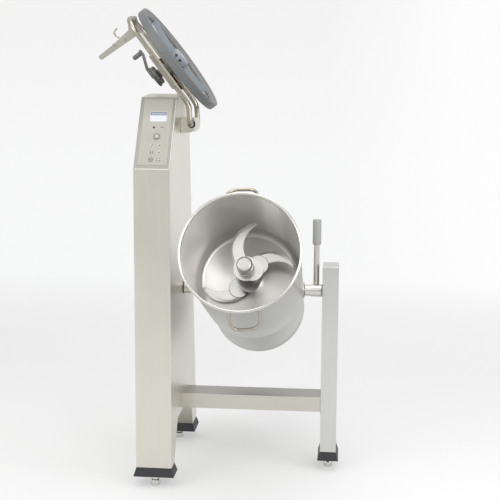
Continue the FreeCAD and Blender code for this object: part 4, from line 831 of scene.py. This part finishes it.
def wiper_form():
    """The hub with its two clamp screws, and two arms that thin towards their rubber tips."""
    build = bmesh.new()
    turn_up(build, softened([(10.2, -119), (30, -119), (37, -113), (37, -96), (34, -95), (34, -88), (37, -87),
                             (37, -79.2), (10.2, -79.2)], [0, 3, 4, 1, 1, 1, 1, 2, 0]), LID_AXIS, 72)
    for turn, reach in ((0, 166.0), (math.pi, 156.0)):
        upright = LID_AXIS @ Matrix.Rotation(turn, 4, "Z") @ Matrix.Rotation(QUARTER, 4, "X")
        fall = (reach - 37) * 22 / 162 + 0.4
        near, far = reach * 0.42, reach * 0.72
        top = [(33, -79.4), (60, -83.2), (reach - 4, -79.2 - fall), (reach, -82.2 - fall)]
        low = [(reach, -99.0 - fall), (reach - 6, -102.0 - fall), (far, -112.5), (near, -108.5),
               (52, -109.0), (33, -112.0)]
        slab(build, softened(top + low, [0, 8, 2, 2, 2, 4, 20, 20, 8, 0]), -5.5, 5.5, upright, 1.8)
        lip = [(48, -106.5), (near, -107.5), (far, -111.5), (reach - 5, -101.0 - fall),
               (reach - 5, -104.0 - fall), (far, -114.0), (near, -110.0), (48, -109.5)]
        slab(build, lip, -1.5, 1.5, upright, 0.4)
    add_piece("wiper_form", build, "wiper", wiper_grey, "wiper_plastic", "wiper", smooth=32)
    build = bmesh.new()
    for angle in (-72, -108):
        side = LID_AXIS @ Matrix.Rotation(math.radians(angle), 4, "Z")
        bolt(build, side @ Matrix.Translation(mm(36.6, 0, -104)) @ Matrix.Rotation(QUARTER, 4, "Y"), 5.0, 3.0)
    add_piece("wiper_screws", build, "wiper", bearing_black, "black_plastic")


def grip_forms():
    """The crank's turning grip, the latch lever and the grip on the tilt lever."""
    turned("crank_grip_form", softened([(4.1, 0), (8.2, 0), (9.5, 4), (9.0, 14), (9.5, 29), (7.6, 33),
                                        (4.1, 33)], [0, 1, 2, 6, 2.5, 2, 0]),
           LID_AXIS @ Matrix.Translation(mm(104, 0, 6.3)), "crank_grip", hub_grey, "black_plastic",
           "crank_grip", parts=48)
    edged("latch_lever", "latch", latch_metal, "hinge_metal", 1.0)
    build = bmesh.new()
    for x, z in ((413.0, 22.0), (422.0, 70.0)):
        for way in (-1, 1):
            place = LID @ Matrix.Translation(mm(x, way * 3.0, z)) @ Matrix.Rotation(-way * QUARTER, 4, "X")
            bolt(build, place, 5.5, 3.2)
    add_piece("latch_bolts", build, "latch", latch_metal, "bright_steel")
    turned("lever_grip_form", softened([(11.05, 180), (14.5, 180), (16.4, 184), (16.5, 275), (14.5, 278),
                                        (0, 278), (0, 262.2), (11.05, 262.2)],
                                       [0, 1.5, 3, 2.5, 2, 0, 0, 0], 6),
           Matrix.Translation(TRUNNION + mm(246, 0, 0)), "bowl", grip_grey, "black_plastic", "lever_grip",
           parts=64)
    edged("tilt_lever", "bowl", bar_steel, "bright_steel", 1.2)


frame_forms()
panel()
bowl_form()
housing_forms()
handle_forms()
rotor_forms()
lid_forms()
saddle_forms()
crank_forms()
wiper_form()
grip_forms()


# Stage

ROLL_NEAR, ROLL_FAR, ROLL_CURVE, ROLL_HIGH, ROLL_SIDE = -8.0, 5.2, 1.2, 9.0, 9.0
PAPER = rgb(0.82, 0.825, 0.825)
GLOW_LOW, GLOW_HIGH, GLOW_RIGHT = rgb(0.945, 0.95, 0.95), rgb(0.86, 0.86, 0.845), rgb(1.0, 1.0, 1.0)


def stage():
    """A pale floor that curves up into a backdrop, seen at one even tone with a soft shadow."""
    finish = Finish("paper_roll")
    path = finish.node("ShaderNodeLightPath")
    seen = [Wire(finish, path.socket.node.outputs[name])
            for name in ("Is Camera Ray", "Is Glossy Ray", "Is Transmission Ray")]
    across, depth, height = finish.split(finish.node("ShaderNodeTexCoord", out="Object"))
    far = (height * 0.9 + (depth - 1.4) * 0.4).clamped()
    direct = (seen[0] + seen[1] + seen[2]).clamped() * (far * 0.56 + 0.40)
    paper = finish.node("ShaderNodeBsdfDiffuse", {}, {"Color": PAPER})
    tone = finish.mix((height * 0.267 - 0.217).clamped(), GLOW_LOW, GLOW_HIGH)
    tone = finish.mix((across * 0.7 - 0.2).clamped(), tone, GLOW_RIGHT)
    glow = finish.node("ShaderNodeEmission", {}, {"Color": tone, "Strength": 1.0})
    finish.end(finish.node("ShaderNodeMixShader", {}, {0: direct, 1: paper, 2: glow}))
    curve = [(ROLL_NEAR, 0.0)] + arc((ROLL_FAR, ROLL_CURVE), ROLL_CURVE, -90, 0, 16)
    curve.append((ROLL_FAR + ROLL_CURVE, ROLL_HIGH))
    mesh = bpy.data.meshes.new("paper_roll")
    points = [(x, y, z) for y, z in curve for x in (-ROLL_SIDE, ROLL_SIDE)]
    mesh.from_pydata(points, [], [(2 * i, 2 * i + 1, 2 * i + 3, 2 * i + 2) for i in range(len(curve) - 1)])
    for face in mesh.polygons:
        face.use_smooth = True
    roll = bpy.data.objects.new("paper_roll", mesh)
    bpy.context.collection.objects.link(roll)
    mesh.materials.append(finish.owner)


def lamp(name, where, aim, width, height, power, colour=(1, 1, 1)):
    data = bpy.data.lights.new(name, "AREA")
    data.shape, data.size, data.size_y, data.energy, data.color = "RECTANGLE", width, height, power, colour
    item = bpy.data.objects.new(name, data)
    item.location = where
    item.rotation_euler = (Vector(aim) - Vector(where)).to_track_quat("-Z", "Y").to_euler()
    bpy.context.collection.objects.link(item)


def lights():
    """A bright room with a darker operator's side, and soft boxes left, right and above."""
    world = bpy.data.worlds.new("studio")
    bpy.context.scene.world = world
    finish = Finish("studio", world)
    _, depth, height = finish.split(finish.node("ShaderNodeTexCoord", out="Generated"))
    depth, height = (depth * 0.5 + 0.5).clamped(), (height * 0.5 + 0.5).clamped()
    tone = (depth * 0.22 + height * 0.20 + 0.52).clamped()
    shade = finish.mix(tone, rgb(0.30, 0.29, 0.26), rgb(1.0, 1.0, 0.99))
    finish.end(finish.node("ShaderNodeBackground", {}, {"Color": shade, "Strength": 0.85}))
    lamp("front_box", (-0.75, -2.5, 3.0), (0.1, 0, 0.7), 2.2, 1.4, 8)
    lamp("bowl_box", (1.3, -2.3, 2.1), (-0.1, -0.3, 0.85), 0.9, 0.9, 13)
    lamp("left_box", (-2.2, -2.0, 2.4), (0, 0, 0.8), 1.6, 2.2, 30)
    lamp("right_box", (2.6, -1.2, 2.2), (0.1, 0, 0.7), 1.4, 2.4, 26)
    lamp("top_box", (0.2, -0.2, 3.6), (0, 0.1, 0.5), 2.4, 2.0, 30)


CAMERA_PLACE = Vector((0.4623, -3.3754, 1.4185))
CAMERA_YAW, CAMERA_PITCH, CAMERA_ROLL = 0.0775, 0.1286, 0.0086
CAMERA_LENS, CAMERA_SHIFT = 65.49, (-0.0407, -0.0554)


def camera():
    """The photograph's place and direction, found from the machine's edges and circles."""
    where, yaw, pitch, roll = CAMERA_PLACE, CAMERA_YAW, CAMERA_PITCH, CAMERA_ROLL
    ahead = Vector((-math.sin(yaw), math.cos(yaw), 0))
    side = Vector((math.cos(yaw), math.sin(yaw), 0))
    up = Vector((0, 0, 1))
    look = ahead * math.cos(pitch) - up * math.sin(pitch)
    over = up * math.cos(pitch) + ahead * math.sin(pitch)
    right = side * math.cos(roll) + over * math.sin(roll)
    top = over * math.cos(roll) - side * math.sin(roll)
    data = bpy.data.cameras.new("photo_camera")
    data.lens = CAMERA_LENS
    data.shift_x, data.shift_y = CAMERA_SHIFT
    item = bpy.data.objects.new("photo_camera", data)
    item.matrix_world = Matrix((
        (right.x, top.x, -look.x, where.x), (right.y, top.y, -look.y, where.y),
        (right.z, top.z, -look.z, where.z), (0, 0, 0, 1)))
    bpy.context.collection.objects.link(item)
    bpy.context.scene.camera = item


stage()
lights()
camera()
bpy.context.scene.view_settings.view_transform = "Standard"
